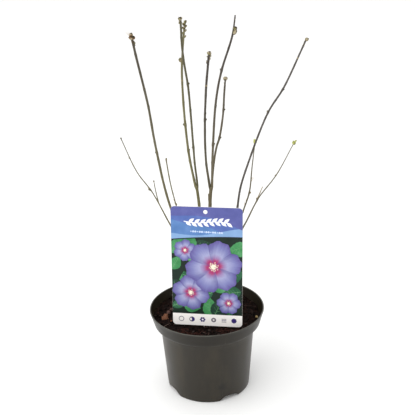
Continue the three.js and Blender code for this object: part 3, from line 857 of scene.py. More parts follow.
def add_thread(form, knees, thick, taper, rings, sides, paint):
    """A thin dry thread through its knees, thinner toward its end."""
    course = Course(knees)

    def radius_of(reach, turn):
        return thick / 2 * (1 - taper * reach / course.length) + 0 * turn

    tube(form, course, np.linspace(0, course.length, rings), sides, radius_of, paint)


def joint_places(length):
    """Where a limb's leaf joints are: distances from its foot, and the side each bud sat on."""
    steps = max(2, round(length * 3 / NODE_SPACING))
    return [(length * k / steps, GOLDEN * k) for k in range(1, steps, 3)]


def bark_skin(limb, length, relief, rng, collar=0.0, knuckles=()):
    """The radius of a bark-covered limb: taper, leaf joints, a collar at the foot and wavy ridges."""
    waves = [
        (ridges, rng.uniform(0, 7), rng.uniform(6, 15), rng.uniform(0.4, 1) * relief)
        for ridges in (2, 3, 5, 7)
    ]
    joints = joint_places(length)

    def radius_of(reach, turn):
        sunk = np.clip(1 + reach / 10, 0.35, 1)
        radius = girth(limb, reach, length) * sunk * (1 + collar * np.exp(-np.maximum(reach, 0) / 5))
        for place, side in joints:
            near = np.exp(-(((reach - place) / JOINT_FADE) ** 2))
            facing = np.exp(-(((turn - side + math.pi) % (2 * math.pi) - math.pi) / 0.7) ** 2)
            ledge = np.exp(-(((reach - place - 0.6) / 1.1) ** 2)) * facing
            radius = radius * (1 + 0.08 * near) + 0.1 * girth(limb, reach, length) * ledge
        for knuckle in knuckles:
            radius = radius * (1 + 0.22 * np.exp(-(((reach - knuckle) / JOINT_FADE) ** 2)))
        for ridges, phase, pitch, strength in waves:
            radius = radius + strength * np.sin(ridges * turn + phase + 1.2 * np.sin(reach / pitch + phase))
        return radius

    return radius_of


# Bud helpers

def seat_bud(form, limb, course, bud, *finish):
    """Adds a bud to its limb: bud says how far down from the tip, which way round, how wide and how long."""
    down, turn, wide, long = bud
    reach = min(course.length, course.length - down)
    centre, heading = course.at(reach)
    side = sideways(heading, math.radians(turn))
    caps = down <= 1
    rule = SEAT_CAP if caps else SEAT_SIDE
    axis = unit(heading + side * rule["lean"])
    out = rule["out"] * wide + (0 if caps else float(girth(limb, reach, course.length)))
    rise = rule["rise"] * wide * long + max(0, -down)
    add_bud(form, centre + side * out + axis * rise, axis, wide, long, *finish)


def add_bud(form, place, axis, wide, long, tones, rng, scales, cupped=0.15, heart=None):
    """A dark heart wrapped in pointed scales that overlap and stand off at the top."""
    half, rise = wide / 2, wide * long / 2
    right, back = across(axis)

    def on_bud(height, turn, lift):
        radius = half * np.sqrt(np.clip(1 - height**2, 0, 1)) + lift
        ring = right * (np.cos(turn) * radius)[..., None] + back * (np.sin(turn) * radius)[..., None]
        return place + ring + axis * (height * rise)[..., None]

    heights = np.sin(np.linspace(-math.pi / 2, math.pi / 2, 8))[:, None]
    form.add_grid(on_bud(heights * 0.9, ways_round(10), -0.14 * half), tones[0] if heart is None else heart)
    along, over = np.linspace(0, 1, 6), np.linspace(-1, 1, 5)
    for k in range(scales):
        low = -0.85 + 1.0 * k / scales
        height = np.clip(low + (0.8 + 0.25 * rng.random()) * along, -0.97, 1.06)
        width = 0.8 * np.cos(along**1.8 * math.pi / 2) ** 0.8 + 0.04
        turn = GOLDEN * k + rng.uniform(-0.2, 0.2) + width[:, None] * over[None, :]
        flare = (0.04 + cupped * rng.uniform(0.5, 1.3) * along**2.5) * half
        lift = flare[:, None] + 0.05 * half * (1 - over[None, :] ** 2)
        form.add_grid(on_bud(height[:, None], turn, lift), rng.choice(tones), False)


def add_wisp(form, start, heading, long, thick, rng):
    """A dry thread that starts along a heading and curls."""
    way = unit(np.array([rng.uniform(-1, 1), rng.uniform(-1, 1), rng.uniform(-0.3, 0.6)]))
    bow = way * long * rng.uniform(0.15, 0.4)
    knees = [start, start + heading * long * 0.5 + bow * 0.25, start + heading * long + bow]
    add_thread(form, knees, thick, 0.7, 6, 4, 0)


def add_leaflet(form, start, heading, side, long, wide, paint):
    """A small leaf that is still folded along its rib, with a toothed edge and a tip that bends out."""
    along, over = np.linspace(0, 1, 9)[:, None], np.linspace(-1, 1, 5)
    normal = np.cross(heading, side)
    tooth = 1 + 0.12 * np.cos(along * 6 * math.pi)
    width = wide / 2 * np.sin(math.pi * np.clip(along**0.8, 0.04, 0.985)) * tooth
    spine = start + heading * (long * along) + normal * (0.25 * long * along**2)
    fold = np.abs(over) * width * 0.55
    points = spine[:, None] + side * (over * width)[..., None] + normal * fold[..., None]
    form.add_grid(points, paint, False)


def scale_buds(limb, rng):
    """Small bud scales below a tip, dealt out by a seeded rule."""
    tip = limb["point"][2] if "point" in limb else limb["thick"][2]
    for k in range(SCALES["count"]):
        down = SCALES["first"] + SCALES["within"] * (k + rng.random()) / SCALES["count"]
        yield down, 137.5 * (k + rng.random()), SCALES["wide"] * tip * rng.uniform(0.8, 1.2), SCALES["long"]


# Soil and pot helpers

# How much the peat and everything on it shines
DULL = 0.09


def smooth_step(value, low, high):
    """Eases from 0 to 1 as a value goes from low to high."""
    share = min(1, max(0, (value - low) / (high - low)))
    return share * share * (3 - 2 * share)


def soil_height(x, y):
    """Height of the peat at a place, before its crumbs."""
    from_stock = math.hypot(x - STOCK_FOOT[0], y - STOCK_FOOT[1])
    waves = math.sin(x * 0.13 + 1) * math.cos(y * 0.11) + 0.6 * math.sin(x * 0.07 - y * 0.19 + 2)
    bumps = smooth_step(from_stock, SOIL["flat"], 2 * SOIL["flat"]) * SOIL["bump"] * waves
    return SOIL["level"] + bumps - SOIL["settle"] * smooth_step(math.hypot(x, y), *SOIL["sinks"])


def crumb_height(x, y):
    """Height of the peat with its lumps and pits."""
    lumps = noise.noise(Vector((x * 0.16, y * 0.16, 3.1))) * 1.5
    bits = noise.noise(Vector((x * 0.55, y * 0.55, 8.4))) * 0.85
    grit = noise.noise(Vector((x * 1.6, y * 1.6, 1.7))) * 0.35
    return soil_height(x, y) + lumps + bits + grit - 0.6


def wall_radius(z):
    """Inner radius of the pot's lip at a height."""
    share = (z - LIP_FOOT) / POT["lip"]
    return POT["lip_foot"] + (POT_RIM - POT["lip_foot"]) * share - POT["wall"]


def body_radius(z):
    """Outer radius of the pot below its lip at a height."""
    return POT["foot"] + (POT["shoulder"] - POT["foot"]) * z / LIP_FOOT


# Inner radius of the pot at the top of the soil
BED_RADIUS = wall_radius(SOIL["level"])


def pot_inside(gap=0.0):
    """The inner outline of the pot from its floor up to the foot of the lip."""
    bench, ledge = NOTCH["height"] + NOTCH["roof"], LIP_FOOT + POT["wall"]
    narrow, wide, top = POT["foot"] - NOTCH["depth"], body_radius(bench), body_radius(ledge)
    steps = [(narrow, POT["floor"]), (narrow, bench), (wide, bench), (top, ledge)]
    inside = [(radius - POT["wall"] - gap, z + gap) for radius, z in steps]
    return [*inside, (wall_radius(ledge) - gap, ledge + gap)]


def lathe(form, profile, segments):
    """Adds a skin turned round the pot's axis, with its ends closed on the axis."""
    turns = ways_round(segments)
    radius, height = np.array(profile, float).T[..., None]
    rings = np.stack([radius * np.cos(turns), radius * np.sin(turns), np.repeat(height, segments, 1)], -1)
    ends = [(0, 0, profile[0][1]), (0, 0, profile[-1][1])]
    form.add([*rings.reshape(-1, 3), *ends], closed_faces(len(profile), segments))


def lump_shapes(rng):
    """Rough lumps about one unit across: points of a small ball pushed in and out, and their faces."""
    ball = bmesh.new()
    bmesh.ops.create_icosphere(ball, subdivisions=2, radius=0.5)
    base = [vertex.co.copy() for vertex in ball.verts]
    faces = [tuple(vertex.index for vertex in face.verts) for face in ball.faces]
    ball.free()
    shapes = []
    for _ in range(LUMP_SHAPES):
        drift = Vector([rng.uniform(0, 50) for _ in range(3)])
        shapes.append(np.array([point * (1 + 0.9 * noise.noise(point * 2.6 + drift)) for point in base]))
    return shapes, faces


def by_card(x, y, z):
    """A place given across, up and out of the card, in the frame."""
    return np.array(CARD_PLACE @ (Vector((x, y, z)) * MM) / MM)


def clear_of_card(x, y, z, room):
    """Whether a ball at a place in millimetres stays off the card and its pin."""
    local = CARD_PLACE.inverted() @ (Vector((x, y, z)) * MM) / MM
    beside = abs(local.x) > CARD["width"] / 2 + room
    return beside or local.z > room or local.z < -CARD["pin"] - room


def pick(rng, *weights):
    """A random place in a list whose items have these weights."""
    return rng.choices(range(len(weights)), weights)[0]


def free_spot(rng, reach, room):
    """A random place on the peat, off the trunk and the card."""
    while True:
        x, y = rng.uniform(-reach, reach), rng.uniform(-reach, reach)
        off_stock = math.hypot(x - STOCK_FOOT[0], y - STOCK_FOOT[1]) > SOIL["off_stock"] + room
        if math.hypot(x, y) < reach and off_stock and clear_of_card(x, y, soil_height(x, y) + room, room):
            return x, y


# Print helpers

def flat_face(form, outline, height, paint, holes=()):
    """Fills an outline with triangles that face out of the card."""
    loops = [[Vector((x, y, height)) for x, y in loop] for loop in (outline, *holes)]
    points = [tuple(point) for loop in loops for point in loop]
    faces = []
    for a, b, c in tessellate_polygon(loops):
        (ax, ay, _), (bx, by, _), (cx, cy, _) = points[a], points[b], points[c]
        turns_left = (bx - ax) * (cy - ay) - (by - ay) * (cx - ax) > 0
        faces.append((a, b, c) if turns_left else (a, c, b))
    form.add(points, faces, paint)


def spun(turn, x, y):
    """A point turned about the origin."""
    return x * math.cos(turn) - y * math.sin(turn), x * math.sin(turn) + y * math.cos(turn)


def polar(x, y, reach, way):
    """The point at a reach from a place, on a way given in radians."""
    return x + reach * math.cos(way), y + reach * math.sin(way)


def arc(x, y, radius, start, end, steps=8):
    """Points on an arc given in degrees."""
    return [polar(x, y, radius, way) for way in np.radians(np.linspace(start, end, steps))]


def header_edge(x):
    """Height on the card of the curved line between the coloured header and the picture."""
    return 138 + 0.0594 * x - 0.00059 * x * x


def dusk_edge(x):
    """The lower edge of the header's middle colour."""
    return 150 - 0.34 * x + 3.5 * math.sin((x + 20) / 17)


def violet_edge(x):
    """The lower edge of the header's top colour."""
    return 162 - 0.2 * x + 6 * math.sin((x + 34) / 24)


def leaf_outline(long, wide, teeth=7, steps=22):
    """A toothed leaf from its stalk at (0, 0) to its tip at (0, long)."""
    right = []
    for k in range(steps + 1):
        t = k / steps
        saw = 1 + 0.1 * abs(math.sin(teeth * math.pi * t))
        right.append((wide / 2 * math.sin(math.pi * t**0.75) * saw, long * t))
    return right + [(-x, y) for x, y in reversed(right[1:-1])]


def turned_by(points, turn, x, y):
    """Points turned about the origin and then moved."""
    return [(x + across, y + up) for across, up in (spun(turn, *point) for point in points)]


# Stage

class HIBISCUS_OT_stage(bpy.types.Operator):
    """Sets the camera, the soft studio light and the pale floor."""

    bl_idname = "hibiscus.stage"
    bl_label = "Stage"

    def execute(self, context):
        scene = context.scene
        looks = scene.hibiscus_stage
        scene.view_settings.view_transform = "Standard"
        scene.camera = self.camera(scene, looks)
        self.panel(scene, "key", KEY, looks.key_power, looks.key_width)
        self.panel(scene, "fill", FILL, looks.fill_power, looks.fill_width)
        self.sky(scene, looks)
        self.floor(looks)
        return {"FINISHED"}

    def camera(self, scene, looks):
        """The camera, placed in front of the pot's rim and above it."""
        data = bpy.data.cameras.new("camera")
        data.sensor_width = 36
        data.lens = looks.lens
        data.shift_x, data.shift_y = looks.shift_x, looks.shift_y
        data.clip_start, data.clip_end = 0.05, 60
        camera = bpy.data.objects.new("camera", data)
        scene.collection.objects.link(camera)
        back = Vector((0, -math.cos(looks.above), math.sin(looks.above)))
        camera.location = Vector((0, 0, POT_HEIGHT * MM)) + back * looks.distance
        tilt = Euler((math.pi / 2 - looks.pitch, 0, 0)).to_matrix()
        camera.rotation_euler = (tilt @ Matrix.Rotation(looks.roll, 3, "Z")).to_euler()
        return camera

    def panel(self, scene, name, facts, power, width):
        """A square soft light that shines at a place."""
        data = bpy.data.lights.new(name, "AREA")
        data.energy = power
        data.size = width
        light = bpy.data.objects.new(name, data)
        light.location = facts["place"]
        aim = Vector(facts["at"]) - Vector(facts["place"])
        light.rotation_euler = aim.to_track_quat("-Z", "Y").to_euler()
        scene.collection.objects.link(light)

    def sky(self, scene, looks):
        """Even white light from all round."""
        scene.world = bpy.data.worlds.new("studio")
        scene.world.use_nodes = True
        sky = scene.world.node_tree.nodes["Background"].inputs
        sky["Color"].default_value = (1, 1, 1, 1)
        sky["Strength"].default_value = looks.sky_power

    def floor(self, looks):
        """A wide sheet of pale paper."""
        form = Form()
        corners = [(-1, -1), (1, -1), (1, 1), (-1, 1)]
        form.add([(x * FLOOR_HALF, y * FLOOR_HALF, 0) for x, y in corners], [(0, 1, 2, 3)])
        paper, tree, surface = bare_material("studio_paper")
        surface["Base Color"].default_value = (*looks.floor, 1)
        surface["Roughness"].default_value = 0.6
        tree.join(tree.bump(tree.noise(tree.place(), 900, 2), 0.02, 0.05), surface["Normal"])
        built("floor", form, [paper], closed=False)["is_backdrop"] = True


# Pot

class HIBISCUS_OT_pot(bpy.types.Operator):
    """Builds the pot with its rolled rim, foot notches, drain holes and mould seam."""

    bl_idname = "hibiscus.pot"
    bl_label = "Pot"

    def execute(self, context):
        looks = context.scene.hibiscus_pot
        plastic = self.plastic("pot_plastic", looks.plastic, looks, 0.2, 0.4)
        # Painted shade: the lip's plastic is darker and less dusty than the body's, to offset the extra
        # light the lip catches
        shaded_lip_plastic = self.plastic("shaded_lip_plastic", looks.lip, looks, 0.1, 0.28)
        self.patch(plastic, looks)
        # Painted highlight along the top of the rim
        self.painted_rim_highlight(shaded_lip_plastic, looks)
        form = Form()
        lathe(form, self.profile(), looks.segments)
        pot = built("pot_shell", form, [plastic, shaded_lip_plastic])
        turns = [math.radians(NOTCH["first"] - 90 + 360 * k / NOTCH["count"]) for k in range(NOTCH["count"])]
        carve(pot, [cutter(shape) for turn in turns for shape in (self.notch(turn), self.drain(turn))])
        pot.data.set_sharp_from_angle(angle=math.radians(34))
        self.paint_lip(pot.data)
        seat(pot, "pot", "pot")
        seams = Form()
        for turn in (POT_SEAM, POT_SEAM + 180):
            self.seam(seams, math.radians(turn))
        seat(built("pot_seams", seams, [plastic]), "pot")
        return {"FINISHED"}

    def plastic(self, name, colour, looks, dusty, shine):
        """Moulded plastic with its film of dust."""
        colours = {"Base": colour, "Dust": looks.dust}
        numbers = {"Dustiness": dusty, "Gloss": looks.roughness}
        return material(name, "plastic", colours, numbers, (0.25, 0.08), shine)

    def paint_lip(self, mesh):
        """Gives the outside of the lip and the top of the rim their own plastic, painted darker as shade."""
        for face in mesh.polygons:
            x, y, z = face.center / MM
            outside = math.hypot(x, y) > wall_radius(z) + 0.5 * POT["wall"]
            if z > LIP_FOOT + 1.1 and (outside or z > POT_HEIGHT - 0.5 * POT["wall"]):
                face.material_index = 1

    def overlay(self, plastic, tree, amount, colour):
        """Lays a colour over a plastic, by an amount from 0 to 1."""
        base = plastic.node_tree.nodes["Principled BSDF"].inputs["Base Color"]
        tree.join(tree.blend(amount, base.links[0].from_socket, (*colour, 1)), base)

    def patch(self, plastic, looks):
        """A faint dark patch low on the front of the pot."""
        tree = ShaderTree(plastic.node_tree)
        where = tree.place()
        place = tuple(value * MM for value in DARK_PATCH["place"])
        away = tree.node("ShaderNodeVectorMath", {0: where, 1: place}, operation="DISTANCE").outputs["Value"]
        ragged = tree.spread(tree.noise(where, 260, 4), 0.3, 0.7, -0.4, 0.4)
        share = tree.plus(tree.times(away, 1 / (DARK_PATCH["reach"] * MM)), ragged)
        amount = tree.spread(share, 1.0, 0.2, 0.0, DARK_PATCH["strength"])
        self.overlay(plastic, tree, amount, looks.patch)
        rough = plastic.node_tree.nodes["Principled BSDF"].inputs["Roughness"]
        tree.join(tree.plus(rough.links[0].from_socket, tree.times(amount, 0.25)), rough)

    def painted_rim_highlight(self, plastic, looks):
        """Painted highlight: the plastic painted pale in patches along the top of the rim."""
        tree = ShaderTree(plastic.node_tree)
        where = tree.place()
        near_top = tree.spread(tree.split(where)["Z"], (POT_HEIGHT - 1.0) * MM, (POT_HEIGHT - 0.3) * MM)
        patches = tree.spread(tree.noise(where, 45, 3), 0.35, 0.65, 0.45, 1.0)
        self.overlay(plastic, tree, tree.times(near_top, patches), looks.highlighted)

    def seam(self, form, turn):
        """A fine raised line up the outside where the halves of the mould met."""
        side = [(body_radius(z), z) for z in np.linspace(NOTCH["height"] + 2, LIP_FOOT - 3, 12)]
        section = [(-0.35, -0.3), (-0.1, 0.13), (0.1, 0.13), (0.35, -0.3)]
        for line in (side, self.lip_line(1.5, 2.4)):
            points = [(*spun(turn, r + out, across), z) for r, z in line for across, out in section]
            form.add(points, block_faces(len(line), 4))

    def lip_line(self, above, below):
        """Places up the outside of the lip, from above its foot to below its top."""
        heights = np.linspace(LIP_FOOT + above, POT_HEIGHT - below, 6)
        return [(wall_radius(z) + POT["wall"], z) for z in heights]

    def profile(self):
        """The pot's outline from the middle of its underside, up its outside and down its inside."""
        foot = [(POT["foot"] - inside, z) for inside, z in ((8, 0), (1.6, 0), (0.5, 0.5), (0.05, 1.2))]
        side = [(body_radius(z), z) for z in np.linspace(2.2, LIP_FOOT - 2, 9)]
        under_lip = [
            (POT["shoulder"] + 0.5, LIP_FOOT - 0.5), (POT["shoulder"] + 1.6, LIP_FOOT),
            (POT["lip_foot"] - 1.1, LIP_FOOT), (POT["lip_foot"] - 0.3, LIP_FOOT + 0.35),
        ]
        edge = POT["wall"] / 2
        rim = arc(POT_RIM - edge, POT_HEIGHT - edge, edge, 0, 180, 11)
        return [*foot, *side, *under_lip, *self.lip_line(1.2, 2.2), *rim, *reversed(pot_inside())]

    def notch(self, turn):
        """The arch cut into the foot, carried on past the wall."""
        half, top, slope = NOTCH["width"] / 2, NOTCH["height"], NOTCH["slope"]
        knots = [(0, 0), (0.35, 0.3), (0.55, 1), (1, 1)]
        t = np.linspace(0, 1, 13)[:, None]
        weights = ((1 - t) ** 3, 3 * t * (1 - t) ** 2, 3 * t**2 * (1 - t), t**3)
        side = sum(w * np.array((half - x * slope, y * top)) for w, (x, y) in zip(weights, knots)).tolist()
        arch = [(-half, -8), (half, -8), *side, *((-across, up) for across, up in reversed(side))]
        ends = (POT["foot"] - NOTCH["depth"], POT["foot"] + 8)
        return [(*spun(turn, reach, across), up) for reach in ends for across, up in arch]

    def drain(self, turn):
        """The round hole over a notch, cut straight down."""
        x, y = spun(turn, POT["foot"] - NOTCH["depth"] / 2 - 1, 0)
        middle, half = NOTCH["height"] + NOTCH["roof"], 3 * NOTCH["roof"]
        rim = arc(x, y, NOTCH["drain"], 0, 345, 24)
        return [(*point, z) for z in (middle - half, middle + half) for point in rim]


def cutter(points):
    """A straight block between two outlines of as many points."""
    form = Form()
    form.add(points, block_faces(2, len(points) // 2))
    return built("cutter", form, [])


def carve(piece, blocks):
    """Cuts other meshes out of a piece and removes them."""
    for block in blocks:
        modifier = piece.modifiers.new("cut", "BOOLEAN")
        modifier.operation = "DIFFERENCE"
        modifier.solver = "EXACT"
        modifier.object = block
    depsgraph = bpy.context.evaluated_depsgraph_get()
    carved = bpy.data.meshes.new_from_object(piece.evaluated_get(depsgraph))
    piece.modifiers.clear()
    piece.data = carved
    for block in blocks:
        bpy.data.objects.remove(block)


# Soil

class HIBISCUS_OT_soil(bpy.types.Operator):
    """Fills the pot with peat, and strews crumbs, fibres and bark chips over it."""

    bl_idname = "hibiscus.soil"
    bl_label = "Soil"

    def execute(self, context):
        looks = context.scene.hibiscus_soil
        rng = random.Random(looks.seed)
        self.bed(looks)
        self.crumbs(looks, rng)
        self.fibres(looks, rng)
        self.chips(looks, rng)
        return {"FINISHED"}

    def bed(self, looks):
        """The plug that fills the pot, and its crumbly top as a fine grid of points."""
        form = Form()
        gap, pitch = SOIL["gap"], SOIL["pitch"]
        lathe(form, [*pot_inside(gap), (wall_radius(SOIL["plug"]) - gap, SOIL["plug"])], 96)
        reach = BED_RADIUS + 0.6
        steps = range(-int(reach / pitch) - 1, int(reach / pitch) + 2)
        spots = [(i, j) for i in steps for j in steps if math.hypot(i * pitch, j * pitch) < reach]
        places = {spot: k for k, spot in enumerate(spots)}
        faces = []
        for (i, j), corner in places.items():
            others = [(i + 1, j), (i + 1, j + 1), (i, j + 1)]
            if all(other in places for other in others):
                faces.append((corner, *(places[other] for other in others)))
        form.add([(i * pitch, j * pitch, crumb_height(i * pitch, j * pitch)) for i, j in spots], faces)
        peat = material("peat", "crumbly", {"Base": looks.peat}, {"Scale": 420.0}, (0.9, 0.6), DULL)
        seat(built("peat_bed", form, [peat], closed=False), "soil", "soil")

    def crumbs(self, looks, rng):
        """The placed lumps, the strewn crumbs, and those heaped against the foot of the card."""
        colours = shades(looks, "dark", "brown", "rust", "bark", "pink")
        shapes, faces = lump_shapes(rng)
        form = Form()
        for k, (x, y, rise, sizes, paint) in enumerate(LUMPS):
            place = np.array([x, y, soil_height(x, y) + rise])
            form.add(shapes[k] * np.array(sizes) + place, faces, paint)
        for _ in range(looks.crumbs):
            size = 1.0 + 3.4 * rng.random() ** 3
            x, y = free_spot(rng, BED_RADIUS - size / 2 - 0.4, size / 2)
            spin = Euler([rng.uniform(0, 6.28) for _ in range(3)]).to_matrix()
            stretch = np.array([rng.uniform(0.7, 1.2), rng.uniform(0.6, 1), rng.uniform(0.5, 0.9)]) * size
            place = np.array([x, y, crumb_height(x, y) + size * 0.12])
            points = (rng.choice(shapes) * stretch) @ np.array(spin).T + place
            form.add(points, faces, pick(rng, 0.6, 0.36, 0.04))
        for k in range(2 * HEAP["pairs"]):
            across = CARD["width"] * ((k // 2 + rng.random()) / HEAP["pairs"] - 0.5)
            up = rng.uniform(-1.7, -0.8) if k % 2 else rng.uniform(-3.2, -2.1)
            size = rng.uniform(1.3, 2.5)
            form.add(rng.choice(shapes) * size + by_card(across, up, -0.9), faces, pick(rng, 0.75, 0.25))
        for _ in range(HEAP["middle"]):
            place = by_card(rng.uniform(-7, 7), rng.uniform(-4.4, -1.8), rng.uniform(0.2, 1.8))
            form.add(rng.choice(shapes) * rng.uniform(1.8, 2.8) + place, faces, rng.choice((0, 0, 1)))
        seat(built("peat_crumbs", form, crumbly("crumb", colours, 900.0, (0.8, 0.3), DULL)), "soil")

    def fibres(self, looks, rng):
        """Roots and peat threads all over, and reddish ones in front of the card, mostly crosswise."""
        form = Form()
        for _ in range(looks.fibres):
            long = rng.uniform(4, 15)
            x, y = free_spot(rng, BED_RADIUS - 3, 0.8)
            turn, thick = rng.uniform(0, 2 * math.pi), rng.uniform(0.25, 0.6)
            self.fibre(form, x, y, turn, long, thick, pick(rng, 0.55, 0.4, 0.05), rng)
        for _ in range(looks.front_fibres):
            x, y = rng.gauss(rng.choice(DRIFTS["middles"]), DRIFTS["spread"]), rng.uniform(*DRIFTS["depth"])
            turn, long, thick = math.radians(rng.gauss(0, 28)), rng.uniform(5, 13), rng.uniform(0.4, 0.8)
            self.fibre(form, x, y, turn, long, thick, rng.choice((1, 3, 3)), rng)
        for x, y, heading, long, thick, paint in STRAWS:
            self.fibre(form, x, y, math.radians(heading), long, thick, paint, rng)
        colours = shades(looks, "brown", "rust", "straw", "red")
        seat(built("peat_fibres", form, crumbly("fibre", colours, 1500.0, (0.4, 0.1), DULL)), "soil")

    def fibre(self, form, x, y, turn, long, thick, paint, rng):
        """A root or peat thread that follows the ground and lifts at one end."""
        curl = rng.uniform(-0.9, 0.9)
        edge = BED_RADIUS - 1.2
        knees = []
        for k in range(5):
            if math.hypot(x, y) > edge:
                x, y = x * edge / math.hypot(x, y), y * edge / math.hypot(x, y)
            lift = 0.5 + (0.35 * k * k * 0.25 if curl > 0 else 0.2 * (k % 2))
            knees.append((x, y, crumb_height(x, y) + lift))
            turn += curl / 4
            x += math.cos(turn) * long / 4
            y += math.sin(turn) * long / 4
        if all(clear_of_card(*knee, 0.4) for knee in knees):
            add_thread(form, knees, thick, 0.6, 9, 5, paint)

    def chips(self, looks, rng):
        """Broken pieces of bark, the one that stands out first."""
        form = Form()
        self.chip(form, *CHIP["place"], CHIP["long"], CHIP["wide"], 3, rng, CHIP["lift"])
        for _ in range(looks.chips):
            long = rng.uniform(3, 8)
            x, y = free_spot(rng, BED_RADIUS - long / 2, long / 2)
            self.chip(form, x, y, long, long * rng.uniform(0.4, 0.8), pick(rng, 0.06, 0.88, 0.06), rng)
        paints = [
            material(name, "bark", {"Base": colour}, {"Contrast": 1.2, "Grain": 1.5}, (0.7, 0.3), DULL)
            for name, colour in shades(looks, "chip_rust", "chip_brown", "chip_grey", "chip_tan").items()
        ]
        seat(built("bark_chips", form, paints, sharp=38), "soil")

    def chip(self, form, x, y, long, wide, paint, rng, lift=0.3):
        """A flat broken piece of bark with bevelled edges, tilted on the peat."""
        sides = rng.randint(6, 8)
        rim = []
        for k in range(sides):
            turn = 2 * math.pi * (k + rng.uniform(-0.3, 0.3)) / sides
            out = long / 2 * math.cos(turn) * rng.uniform(0.8, 1)
            rim.append((out, wide / 2 * math.sin(turn) * rng.uniform(0.8, 1)))
        thick = rng.uniform(0.9, 1.8)
        layers = [(0.86, 0), (1, thick * 0.3), (0.97, thick * 0.7), (0.84, thick)]
        points = [(px * grow, py * grow, z) for grow, z in layers for px, py in rim]
        tilt = Euler((rng.uniform(-0.3, 0.3), rng.uniform(-0.3, 0.3), rng.uniform(0, 6.28))).to_matrix()
        place = Vector((x, y, crumb_height(x, y) + lift))
        form.add([tilt @ Vector(point) + place for point in points], block_faces(4, sides), paint)


# Trunk and limbs

